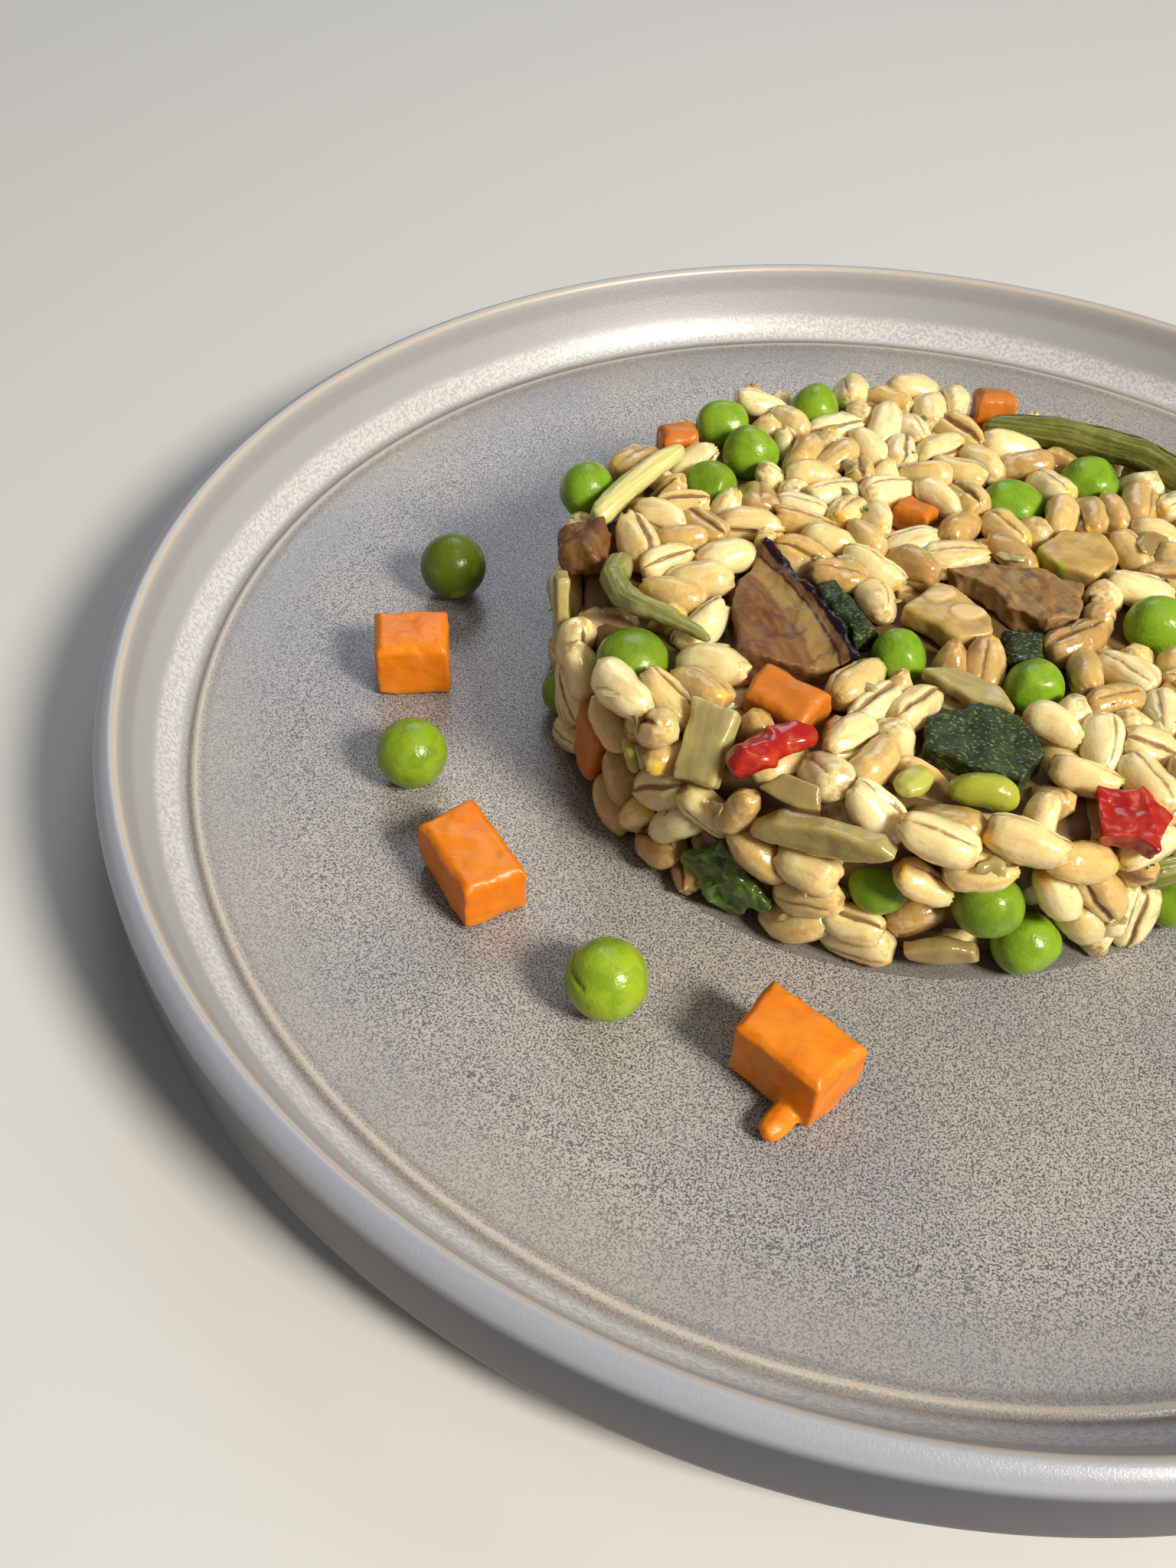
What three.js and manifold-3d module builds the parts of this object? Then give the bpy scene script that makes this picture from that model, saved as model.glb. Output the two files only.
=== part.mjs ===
// A moulded round of pearled farro with diced vegetables on a low-rimmed stoneware plate.
// Millimetres, +Z up. The origin is the centre of the plate's foot, on the surface it stands on.
// At azimuth 0 the viewer looks along +Y; angles run anticlockwise from +X, seen from above.
import * as THREE from "three";
import { mergeVertices } from "three/addons/utils/BufferGeometryUtils.js";
import Module from "manifold-3d";

const wasm = await Module();
wasm.setup();

// ---------- Driving dimensions ----------
const PLATE_RADIUS = 110;
const FLOOR_Z = 7; // eating surface at the centre
const UNDERSIDE_Z = 2.4;
const FOOT_INNER = 63;
const FOOT_OUTER = 69;
const BEAD_RADIUS = 98.9; // the raised line where the floor ends
const BEAD_Z = 8.5;
const LIP_RADIUS = 106.9; // inner top edge of the rim
const LIP_Z = 19.8;
const WALL_TOP_Z = 17.9; // where the outer wall turns upright
const WALL_BOTTOM_Z = 6.6;
const PLATE_SIDES = 48;

const ROUND_CENTRE = { x: -1.6, y: 1.2 }; // it was turned out a little off the plate's centre
const ROUND_RADIUS = 49.7; // moulded round of farro, grains included
const ROUND_TOP = 31.3;
const GRAIN = { length: 9.4, width: 5.2, thick: 4.6 };
const GRAIN_PROUD = 2.4; // how far a grain stands out of the core
const GRAIN_UNEVEN = 0.9; // how much more some of them do
const CORE_RADIUS = ROUND_RADIUS - GRAIN_PROUD;
const CORE_TOP = ROUND_TOP - GRAIN_PROUD;
const REST_GAP = 0.1; // between the floor and what rests on it
const POCKET_GAP = 0.35; // round a piece that is sunk in the farro
const GRAIN_TRIES = 7000;
const GRAIN_SPACING = 0.75; // share of a grain's width kept between two grains' middles
const GRAIN_SIZES = { from: 0.9, range: 0.22 }; // share of the full length
const GRAIN_GIRTHS = { from: 0.98, range: 0.17 }; // share of the full width and thickness
const GRAIN_TIP = 24; // degrees that a grain on the top may dip, end to end
const GRAIN_ROLL = 120; // degrees that a grain on the wall may turn, side to side
const SEED = 20;

// ---------- Colours, as three.js materials ----------
const finish = (color, roughness) => new THREE.MeshStandardMaterial({ color, roughness, metalness: 0 });
const MATERIALS = {
  glaze: finish(0x8f9096, 0.45),
  farro: finish(0xd9b778, 0.35),
  pea: finish(0x5f9a1e, 0.25),
  carrot: finish(0xe07a1c, 0.4),
  aubergine: finish(0x6b4630, 0.35),
  courgette: finish(0x2f3d22, 0.35),
  courgetteFlesh: finish(0xb9a468, 0.3),
  greenBean: finish(0x66702f, 0.35),
  paleBean: finish(0xcfc07c, 0.35),
  onion: finish(0xb9a670, 0.25),
  leaf: finish(0x3d5f1f, 0.25),
  pepper: finish(0xb3241a, 0.2),
  seed: finish(0xa9b45c, 0.3),
};

// ---------- Helpers ----------
const radians = THREE.MathUtils.degToRad;
const onPlate = (angle, radius, z) =>
  new THREE.Vector3(radius * Math.cos(radians(angle)), radius * Math.sin(radians(angle)), z);
const inRound = (angle, radius, z) => {
  const spot = onPlate(angle, radius, z);
  return spot.set(spot.x + ROUND_CENTRE.x, spot.y + ROUND_CENTRE.y, z);
};

// A seeded generator of numbers from 0 to 1, so that each run makes the same object.
function makeRandom(seed) {
  let state = seed;
  return () => {
    state = (state + 0x6d2b79f5) | 0;
    let t = Math.imul(state ^ (state >>> 15), 1 | state);
    t = (t + Math.imul(t ^ (t >>> 7), 61 | t)) ^ t;
    return ((t ^ (t >>> 14)) >>> 0) / 4294967296;
  };
}

// A closed geometry as a manifold solid.
function toSolid(geometry) {
  const bare = geometry.clone();
  bare.deleteAttribute("normal");
  bare.deleteAttribute("uv");
  const merged = mergeVertices(bare, 1e-4);
  return new wasm.Manifold(
    new wasm.Mesh({
      numProp: 3,
      vertProperties: new Float32Array(merged.attributes.position.array),
      triVerts: new Uint32Array(merged.index.array),
    }),
  );
}

function toGeometry(solid) {
  const mesh = solid.getMesh();
  return new THREE.BufferGeometry()
    .setAttribute("position", new THREE.BufferAttribute(new Float32Array(mesh.vertProperties), 3))
    .setIndex(new THREE.BufferAttribute(new Uint32Array(mesh.triVerts), 1));
}

// Moves each vertex of a geometry by a function of its position.
function reshape(geometry, move) {
  const position = geometry.attributes.position;
  const point = new THREE.Vector3();
  for (let i = 0; i < position.count; i++) {
    move(point.fromBufferAttribute(position, i));
    position.setXYZ(i, point.x, point.y, point.z);
  }
  return geometry;
}

// ---------- Forms of the food. Each takes "grow", the gap that its pocket adds all round ----------

// A pea: a ball, pressed or dented along its own Z. Its pocket is a coarser ball round it.
const pea = (radius, { squash = 1, wide = 1 } = {}) => (grow) => {
  const POCKET_FACET = 1.12; // the coarse ball's flats lie inside its corners
  const r = grow ? (radius + grow) * POCKET_FACET : radius;
  const ball = grow ? new THREE.SphereGeometry(r, 7, 5) : new THREE.IcosahedronGeometry(r, 1);
  return ball.scale(wide, 1, squash);
};

// A cut cube or block, its edges worn round, leaning by "skew" as a knife leaves it.
const dice = (x, y, z, { edge = 0.7, skew = 0 } = {}) => (grow) => {
  const w = x / 2 - edge;
  const d = y / 2 - edge;
  const plan = new THREE.Shape([
    new THREE.Vector2(-w, -d),
    new THREE.Vector2(w * (1 - skew), -d * (1 + skew)),
    new THREE.Vector2(w, d * (1 - skew)),
    new THREE.Vector2(-w * (1 + skew), d),
  ]);
  const wear = grow ? edge + grow : edge;
  return new THREE.ExtrudeGeometry(plan, {
    depth: z - 2 * edge,
    bevelThickness: wear,
    bevelSize: wear,
    bevelSegments: 1,
    steps: 1,
  }).translate(0, 0, edge - z / 2);
};

// A slice cut from a vegetable: an outline in plan, with its upper face at z 0.
const slice = (outline, thick, { edge = 0.5, crown = 0 } = {}) => (grow) => {
  const shape = new THREE.Shape(outline.map(([x, y]) => new THREE.Vector2(x, y)));
  const wear = edge + grow;
  const cut = new THREE.ExtrudeGeometry(shape, {
    depth: thick - 2 * edge,
    bevelThickness: wear,
    bevelSize: wear - edge,
    bevelSegments: 1,
    steps: 1,
  }).translate(0, 0, edge - thick);
  return crown ? reshape(cut, (p) => (p.z -= crown * (p.x * p.x + p.y * p.y))) : cut;
};

// A bean pod or a strip bent along a curve. "taper" gives the width from end to end.
const pod = (points, radius, { flat = 1, taper = () => 1, rings = 5, sides = 8 } = {}) => (grow) => {
  const curve = new THREE.CatmullRomCurve3(points.map((p) => new THREE.Vector3(...p)));
  const length = curve.getLength();
  const r = radius + grow;
  const capsule = new THREE.CapsuleGeometry(r, length + 2 * grow - 2 * r, 2, sides, rings);
  const up = new THREE.Vector3(0, 0, 1);
  return reshape(capsule, (p) => {
    const along = THREE.MathUtils.clamp(p.y / (length + 2 * grow) + 0.5, 0, 1);
    const tangent = curve.getTangentAt(along);
    const side = new THREE.Vector3().crossVectors(tangent, up).normalize();
    const lift = new THREE.Vector3().crossVectors(side, tangent);
    const width = taper(along);
    const beyond = (along < 0.5 ? -1 : 1) * grow * Math.abs(2 * along - 1);
    const { x, z } = p;
    p.copy(curve.getPointAt(along))
      .addScaledVector(tangent, beyond)
      .addScaledVector(side, x * width)
      .addScaledVector(lift, z * width * flat);
  });
};

// A flat seed, long along its own X.
const seed = (length, radius) =>
  pod([[-length / 2, 0, 0], [length / 2, 0, 0]], radius, { flat: 0.7, rings: 1, sides: 7 });

// A cooked leaf: a thin sheet in waves, its two faces alike.
const leaf = (x, y, thick, wave) => (grow) => {
  const sheet = new THREE.BoxGeometry(x + 2 * grow, y + 2 * grow, thick + 2 * grow, 5, 4, 1);
  return reshape(sheet, (p) => {
    p.z += wave * Math.sin(0.75 * p.x + 0.35 * p.y) * Math.cos(0.5 * p.y - 0.4);
    p.x += 0.12 * p.y;
  });
};

// ---------- Seats: where a piece lies and which way it faces ----------

// On the top: plan position, height of the piece's own origin, turn, and a lean about its X and Y.
const onTop = (x, y, z, turn = 0, leanX = 0, leanY = 0) => {
  const seat = new THREE.Object3D();
  seat.position.set(x, y, z);
  seat.rotation.set(radians(leanX), radians(leanY), radians(turn), "ZYX");
  return seat;
};

// On the side wall: local X runs round the wall, local Y up it and local Z out of it. "roll" turns
// the piece in the wall's face and "lean" tips its face upwards.
const onSide = (angle, radius, z, roll = 0, lean = 0) => {
  const seat = new THREE.Object3D();
  seat.position.copy(inRound(angle, radius, z));
  seat.rotation.set(radians(90 - lean), 0, radians(angle + 90), "ZXY");
  seat.rotateZ(radians(roll));
  return seat;
};

// ---------- The plate ----------
function plateProfile() {
  const path = new THREE.Path();
  path.moveTo(0, UNDERSIDE_Z);
  path.lineTo(FOOT_INNER - 2, UNDERSIDE_Z);
  path.lineTo(FOOT_INNER, 0);
  path.lineTo(FOOT_OUTER, 0);
  path.lineTo(FOOT_OUTER + 2, UNDERSIDE_Z);
  path.lineTo(PLATE_RADIUS - 9, UNDERSIDE_Z + 0.6);
  path.lineTo(PLATE_RADIUS - 2, WALL_BOTTOM_Z - 2.2);
  path.lineTo(PLATE_RADIUS, WALL_BOTTOM_Z);
  path.lineTo(PLATE_RADIUS, WALL_TOP_Z);
  path.lineTo(PLATE_RADIUS - 0.8, LIP_Z - 0.7);
  path.lineTo(LIP_RADIUS + 0.7, LIP_Z);
  path.lineTo(LIP_RADIUS, LIP_Z - 0.3);
  // The inner wall is a cove: steep under the lip, flattening towards the floor.
  const COVE_STEPS = 3;
  const groove = BEAD_RADIUS + 1.2;
  for (let i = COVE_STEPS - 1; i >= 0; i--) {
    const s = i / COVE_STEPS;
    path.lineTo(groove + (LIP_RADIUS - groove) * s, BEAD_Z - 0.4 + (LIP_Z - BEAD_Z) * s ** 1.6);
  }
  path.lineTo(BEAD_RADIUS, BEAD_Z);
  path.lineTo(BEAD_RADIUS - 1.4, BEAD_Z - 0.5);
  path.lineTo(BEAD_RADIUS - 14, FLOOR_Z);
  path.lineTo(0, FLOOR_Z);
  return path.getPoints(1);
}

const plateGeometry = new THREE.LatheGeometry(plateProfile(), PLATE_SIDES).rotateX(Math.PI / 2);

// ---------- Pieces laid on the plate in an arc, pea and carrot in turn ----------
const ON_FLOOR = FLOOR_Z + REST_GAP;
const garnish = [
  { name: "loose_pea_1", at: [179.1, 69.7], size: 4.9 },
  { name: "loose_carrot_1", at: [195.2, 70.3], block: [10.2, 8.8, 8.8], turn: 24, skew: 0.06 },
  { name: "loose_pea_2", at: [211.9, 70.6], size: 4.65 },
  { name: "loose_carrot_2", at: [228.7, 69.0], block: [13.6, 8.2, 7.6], turn: -40, skew: 0.1 },
  { name: "loose_pea_3", at: [248.8, 68.0], size: 4.85 },
  { name: "loose_carrot_3", at: [268.6, 65.9], block: [12.4, 8.4, 9], turn: -23, skew: 0.12 },
];
const WEAR = 0.8; // rounding of a loose cube's edges
const TAIL = { length: 6, width: 3.4, thick: 3, side: 0.2, out: 0.55 }; // torn strip on the last cube

function garnishGeometry(item) {
  if (item.size) return new THREE.SphereGeometry(item.size, 12, 8).rotateX(Math.PI / 2);
  const [x, y, z] = item.block;
  const block = dice(x, y, z, { edge: WEAR, skew: item.skew })(0);
  if (item.name !== "loose_carrot_3") return block;
  const tail = new THREE.CapsuleGeometry(TAIL.width / 2, TAIL.length, 2, 8)
    .scale(1, 1, TAIL.thick / TAIL.width)
    .translate(x * TAIL.side, -y * TAIL.out, TAIL.thick / 2 - z / 2);
  return toGeometry(toSolid(block).add(toSolid(tail)));
}

function makeGarnish() {
  const arc = new THREE.Group();
  for (const item of garnish) {
    const material = item.size ? MATERIALS.pea : MATERIALS.carrot;
    const mesh = new THREE.Mesh(garnishGeometry(item), material);
    mesh.name = item.name;
    mesh.position.copy(onPlate(...item.at, ON_FLOOR + (item.size ?? item.block[2] / 2)));
    mesh.rotation.z = radians(item.turn ?? 0);
    arc.add(mesh);
  }
  return arc;
}

// ---------- Vegetables sunk in the farro ----------
const TOP = ROUND_TOP;
const onFloor = (radius) => ON_FLOOR + radius; // height of a pea that rests on the plate

const piece = (name, material, form, seat) => ({ name, material, form, seat });

const sunk = [
  // Peas: those on the top, from the left round the back, then those in the side wall.
  piece("pea_01", "pea", pea(4.1), onTop(-50.2, 3.6, 29)),
  piece("pea_02", "pea", pea(4), onTop(-36.6, 27, 29)),
  piece("pea_03", "pea", pea(4.2), onTop(-30.6, 20.6, 29.4)),
  piece("pea_04", "pea", pea(4, { squash: 0.85 }), onTop(-34.2, 11.2, 29, 20, 0, 25)),
  piece("pea_05", "pea", pea(4), onTop(-24.4, 36, 29.4)),
  piece("pea_06", "pea", pea(4.9), onTop(-33.9, -27.2, 27)),
  piece("pea_07", "pea", pea(3.6), onTop(-2.4, -15.4, 28.6)),
  piece("pea_08", "pea", pea(3.8), onTop(14.2, -15.8, 29)),
  piece("pea_09", "pea", pea(4.2, { squash: 0.8, wide: 1.12 }), onTop(7, 23.2, 28.6)),
  piece("pea_10", "pea", pea(4.4, { squash: 0.85 }), onTop(17, 31.6, 29.2)),
  piece("pea_11", "pea", pea(4.2), onTop(28.1, 1.6, 29.2)),
  piece("pea_12", "pea", pea(4.4), onSide(290.6, 46.6, 18.4)),
  piece("pea_13", "pea", pea(4.2), onSide(298, 47.6, onFloor(4.2))),
  piece("pea_14", "pea", pea(4.2), onSide(324, 47.6, onFloor(4.2))),
  piece("pea_15", "pea", pea(3.7), onSide(275, 45, 18)),
  piece("pea_16", "pea", pea(3.9), onSide(203, 47.4, onFloor(3.9))),
  piece("pea_17", "pea", pea(4.2), onTop(36.5, 20.5, 29)),
  piece("pea_18", "pea", pea(4.2), onSide(14, 46.2, 17.5)),
  piece("pea_19", "pea", pea(4.1), onSide(128, 46.2, 14.2)),
  // Carrot.
  piece("carrot_01", "carrot", dice(5.4, 4.6, 5), onTop(-41.5, 20.2, 28.6, 30)),
  piece("carrot_02", "carrot", dice(6, 5.4, 6), onTop(1.2, 46, 29, 15, -14)),
  piece("carrot_03", "carrot", dice(5, 4.2, 4.6), onTop(-5.6, 14, 29.2, -20)),
  piece("carrot_04", "carrot", dice(9, 6, 6.4, { skew: 0.1 }), onTop(-13.6, -29.4, 28.6, -18, 14)),
  piece("carrot_05", "carrot", dice(6.2, 9.4, 6, { skew: 0.14 }), onSide(222.5, 46.8, 16.4, -8)),
  piece("carrot_06", "carrot", dice(6.4, 6, 6), onSide(345, 46.2, 21, 25)),
  piece("carrot_07", "carrot", dice(6.4, 7, 6), onSide(84, 46.2, 16.5, -18)),
  // Aubergine: a wedge with its skin along one side, and two torn pieces.
  piece(
    "aubergine_01", "aubergine",
    slice([[-8.6, 10.6], [-3.4, 6.2], [3.2, -0.6], [8.4, -8.6], [5.4, -10.8], [-5.8, -12.8], [-9.6, -2]], 5),
    onTop(-15.2, -11.4, TOP - 0.5),
  ),
  piece(
    "aubergine_02", "aubergine",
    slice([[-9.5, 0.4], [-4, 3], [3, 3.6], [8, 2.6], [8.2, -4.2], [4.2, -6.8], [0, -5.2], [-4, -1.6]], 3.4),
    onTop(10, 2.2, TOP - 0.4),
  ),
  piece("aubergine_03", "aubergine", dice(6.2, 7, 4.8, { skew: 0.15 }), onTop(-46.2, -9, 29, 12, 0, -26)),
  // Courgette: pieces with dark skin, and flesh with seeds.
  piece("courgette_01", "courgette", dice(10.6, 3.4, 6, { edge: 0.6 }), onTop(-10.1, -10.3, 28.1, -47, 18)),
  piece(
    "courgette_02", "courgetteFlesh",
    slice([[-6, -2.4], [-3.4, 4.4], [-0.4, 4.7], [5, -0.2], [5.6, -3.4], [1.6, -5.8]], 3.4),
    onTop(2.4, -5.8, TOP - 0.3),
  ),
  piece("courgette_03", "courgette", dice(5, 5, 5, { skew: 0.12 }), onTop(12.2, -9.2, 28.3, 18, 12)),
  piece(
    "courgette_04", "courgetteFlesh",
    slice([[-5.6, -0.6], [-2.6, 4], [3.4, 4.6], [5.6, 0.2], [2.6, -4], [-2, -3.8]], 3.6),
    onTop(16.8, 12, TOP - 0.2, 0, 6),
  ),
  piece(
    "courgette_05", "courgette",
    slice([[-7, 0.6], [-1.6, 4.8], [3.6, 4.6], [7, 0.4], [5.2, -5], [-6.6, -3.4]], 4.4, { crown: 0.02 }),
    onTop(9.6, -28.9, TOP + 0.5, 0, 8),
  ),
  piece(
    "courgette_06", "courgetteFlesh",
    pod([[-4, 0, 0], [0, 0, 0.6], [4.4, 0, 0]], 2.2, { rings: 3 }),
    onTop(10.6, -37, 29.9, 8),
  ),
  piece("seed_01", "seed", seed(5.4, 2), onTop(3, -38.4, 30.4, 60)),
  piece("seed_02", "seed", seed(4.8, 1), onSide(234.6, 49.2, 23.3, -60)),
  piece("courgette_07", "courgette", dice(7, 6.4, 4.6), onSide(42, 46.8, 22.5, 30)),
  // Green beans and a pale one.
  piece(
    "bean_01", "greenBean",
    pod([[0, 40.2, 0], [12, 41.4, 0.5], [24, 40, 0.5], [35, 33, -0.2]], 2.5, {
      taper: (t) => 0.65 + 0.35 * Math.min(1, 4 * t),
      rings: 7,
    }),
    onTop(0, 0, 29.8),
  ),
  piece(
    "bean_02", "paleBean",
    pod([[-46.2, -5, -0.4], [-44.4, 1.6, 0.4], [-42.2, 8.6, 0.5], [-39.8, 15.6, 0]], 2, {
      taper: (t) => 1 - 0.25 * t,
    }),
    onTop(0, 0, 31),
  ),
  piece(
    "bean_03", "greenBean",
    pod([[-40.2, -10, -0.6], [-40.4, -15, 0], [-37, -19.8, 0.9], [-31, -21.6, 1.4], [-25, -23.4, 0.4]], 1.9, {
      taper: (t) => 1.05 - 0.65 * t * t,
    }),
    onTop(0, 0, 30.2),
  ),
  piece(
    "bean_04", "greenBean",
    pod([[-5.4, 0, -0.6], [0, 0.6, 0.4], [5.4, 0, -0.6]], 2.3, { rings: 3 }),
    onSide(320.5, 47.4, 18.6),
  ),
  // Onion, cabbage and a leaf.
  piece(
    "onion_01", "onion",
    slice([[-8.6, 0], [-5, 2.2], [1, 2.7], [7, 1.8], [9, 0], [6, -1.8], [0, -2.6], [-6, -1.8]], 2.6),
    onSide(265.6, 49, 26, 11),
  ),
  piece(
    "onion_02", "onion",
    slice([[-4, -1.2], [-1.6, 1.6], [2.8, 1.4], [4, -0.8], [1, -1.6]], 2),
    onSide(260, 46.9, 30.8, 0, 55),
  ),
  piece(
    "onion_03", "onion",
    slice([[-6.2, -0.6], [-2.6, 2.2], [3.2, 2.2], [6.4, -1.6], [1, -2.4]], 2.2),
    onTop(6.6, -20.2, TOP - 0.2, -14),
  ),
  piece(
    "onion_04", "onion",
    slice([[-4.6, 0.4], [-1, 2], [4, 1.6], [4.8, -0.8], [0.6, -1.8], [-4, -1.6]], 2),
    onSide(285.6, 49.2, 11),
  ),
  piece(
    "onion_05", "onion",
    slice([[-2.4, -6.6], [2, -6], [2.6, 2], [1.2, 6.4], [-2.2, 5.6]], 1.9),
    onSide(204, 49.6, 25),
  ),
  piece(
    "cabbage_01", "onion",
    slice([[-3.4, 5], [2.6, 4.6], [3.8, -4.6], [-1.8, -5.2]], 2.8),
    onSide(244, 45.6, 29.6, 14, 52),
  ),
  piece("leaf_01", "leaf", leaf(10, 7.6, 1.3, 0.6), onSide(253.5, 48.2, 13, -40)),
  // Red pepper: two glossy folded strips.
  piece(
    "pepper_01", "pepper",
    pod([[-9.4, -35, 0], [-12.8, -37.6, 0.7], [-15, -41.4, 0.4], [-17.2, -43.2, -1]], 2.3, {
      flat: 0.6,
      rings: 4,
    }),
    onTop(0, 0, 30.4),
  ),
  piece(
    "pepper_02", "pepper",
    slice([[-4.4, 2.4], [0.6, 3.4], [4.2, 0.6], [3.2, -4.4], [-2.6, -3.6]], 2.6),
    onTop(27, -35, TOP - 0.1, 0, 14),
  ),
];

function makeSunkPieces() {
  const pieces = new THREE.Group();
  for (const { name, material, form, seat } of sunk) {
    const mesh = new THREE.Mesh(form(0), MATERIALS[material]);
    mesh.name = name;
    mesh.position.copy(seat.position);
    mesh.rotation.copy(seat.rotation);
    pieces.add(mesh);
  }
  return pieces;
}

// The room that each sunk piece takes in the farro.
function makePockets() {
  return sunk.map(({ form, seat }) => {
    seat.updateMatrix();
    return toSolid(form(POCKET_GAP).applyMatrix4(seat.matrix));
  });
}

// ---------- The farro: a core with whole grains fused on ----------
function coreSolid() {
  const EASE = 1.2; // rounding at the top edge
  const profile = [
    new THREE.Vector2(0, ON_FLOOR),
    new THREE.Vector2(CORE_RADIUS - EASE / 2, ON_FLOOR),
    new THREE.Vector2(CORE_RADIUS, ON_FLOOR + EASE),
    new THREE.Vector2(CORE_RADIUS, CORE_TOP - EASE),
    new THREE.Vector2(CORE_RADIUS - EASE, CORE_TOP),
    new THREE.Vector2(0, CORE_TOP),
  ];
  const round = new THREE.LatheGeometry(profile, 40).rotateX(Math.PI / 2);
  return toSolid(round.translate(ROUND_CENTRE.x, ROUND_CENTRE.y, 0));
}

// One grain, long along X, lying with its middle at the core's surface.
function grainSolid(seat, random) {
  const size = GRAIN_SIZES.from + GRAIN_SIZES.range * random();
  const girth = GRAIN_GIRTHS.from + GRAIN_GIRTHS.range * random();
  const grain = new THREE.SphereGeometry(0.5, 5, 3)
    .rotateZ(Math.PI / 2)
    .scale(GRAIN.length * size, GRAIN.width * girth, GRAIN.thick * girth);
  seat.updateMatrix();
  return toSolid(grain.applyMatrix4(seat.matrix));
}

// Grains are tried at random over the top and the wall. One is left out where it would cross
// another grain or a vegetable, so they end up evenly spread, as they lie in the real round.
function grainSolids(pockets, random) {
  const kept = [];
  const pocketBoxes = pockets.map((p) => p.boundingBox());
  const half = (GRAIN.length - GRAIN.width) / 2;
  const near = GRAIN.width * GRAIN_SPACING;
  const wallHeight = CORE_TOP - ON_FLOOR - GRAIN.thick;
  const topShare = CORE_RADIUS / (CORE_RADIUS + 2 * wallHeight);
  for (let i = 0; i < GRAIN_TRIES; i++) {
    const angle = 360 * random();
    let seat;
    if (random() < topShare) {
      const { x, y, z } = inRound(angle, CORE_RADIUS * Math.sqrt(random()), CORE_TOP);
      seat = onTop(x, y, z, 360 * random(), 0, GRAIN_TIP * (random() - 0.5));
    } else {
      const z = ON_FLOOR + GRAIN.thick / 2 + wallHeight * random();
      const radius = CORE_RADIUS + GRAIN_UNEVEN * random();
      seat = onSide(angle, radius, z, GRAIN_ROLL * (random() - 0.5));
    }
    const along = new THREE.Vector3(1, 0, 0).applyEuler(seat.rotation).multiplyScalar(half);
    const ends = [-1, 0, 1].map((k) => seat.position.clone().addScaledVector(along, k));
    if (ends.some((e) => e.z < ON_FLOOR + GRAIN.thick / 2)) continue;
    if (kept.some((other) => ends.some((e) => other.ends.some((o) => e.distanceTo(o) < near)))) continue;
    const solid = grainSolid(seat, random);
    const box = solid.boundingBox();
    const crosses = pockets.some((pocket, k) => {
      const other = pocketBoxes[k];
      const apart = [0, 1, 2].some((a) => box.min[a] > other.max[a] || box.max[a] < other.min[a]);
      return !apart && !pocket.intersect(solid).isEmpty();
    });
    if (!crosses) kept.push({ ends, solid });
  }
  return kept.map((grain) => grain.solid);
}

function farroGeometry() {
  const random = makeRandom(SEED);
  const pockets = makePockets();
  const hollowed = pockets.reduce((core, pocket) => core.subtract(pocket), coreSolid());
  const heap = wasm.Manifold.union([hollowed, ...grainSolids(pockets, random)]);
  // A grain may be left standing free over a pocket: only the one large body is kept.
  const bodies = heap.decompose().sort((a, b) => b.volume() - a.volume());
  return toGeometry(bodies[0]);
}

// ---------- The whole dish ----------
const dish = new THREE.Group();
const plate = new THREE.Mesh(plateGeometry, MATERIALS.glaze);
plate.name = "plate";
const farro = new THREE.Mesh(farroGeometry(), MATERIALS.farro);
farro.name = "farro";
dish.add(plate, farro, makeSunkPieces(), makeGarnish());

export default dish;
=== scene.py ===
# %% [markdown]
# # A plate of farro with vegetables
# The dish is a round of pearled farro, turned out of a ring mould onto a low stoneware plate. Diced
# vegetables are mixed through it, and an arc of loose peas and carrot cubes lies beside it.
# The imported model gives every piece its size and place. This script keeps those places and gives
# the pieces their real forms and finishes.

# %% Load the frame
import math

import bpy
import numpy as np
from mathutils import Matrix, Vector
from mathutils.bvhtree import BVHTree


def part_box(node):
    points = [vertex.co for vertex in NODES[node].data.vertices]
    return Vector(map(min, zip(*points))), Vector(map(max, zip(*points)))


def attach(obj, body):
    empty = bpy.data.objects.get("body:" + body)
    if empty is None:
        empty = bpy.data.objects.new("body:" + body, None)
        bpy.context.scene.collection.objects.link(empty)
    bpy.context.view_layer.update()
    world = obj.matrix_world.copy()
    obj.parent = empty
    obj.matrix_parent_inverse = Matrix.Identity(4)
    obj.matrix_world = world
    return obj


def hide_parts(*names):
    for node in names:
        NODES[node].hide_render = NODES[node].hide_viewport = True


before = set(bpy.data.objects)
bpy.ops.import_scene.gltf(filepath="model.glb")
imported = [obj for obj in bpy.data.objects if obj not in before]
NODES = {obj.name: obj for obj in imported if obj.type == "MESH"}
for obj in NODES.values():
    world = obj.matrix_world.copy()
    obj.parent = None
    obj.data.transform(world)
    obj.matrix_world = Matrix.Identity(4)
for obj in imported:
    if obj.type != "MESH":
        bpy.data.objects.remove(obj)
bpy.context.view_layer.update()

MM = 0.001

# %% [markdown]
# ## The camera comes first
# The photo looks down at about 46 degrees from close by, so the perspective is strong. The camera's
# place was worked out from the circles of the plate: position in millimetres from the plate's
# centre, then the way it looks as a heading, a pitch and a roll.

# %% Camera
CAMERA_AT = Vector((0, -160.63, 148.1)) * MM
HEADING, PITCH, ROLL = math.radians(16.14), math.radians(-46.09), math.radians(3.19)
FOCAL_SHARE = 0.9321  # focal length as a share of the picture's longer side
SENSOR = 36

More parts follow.
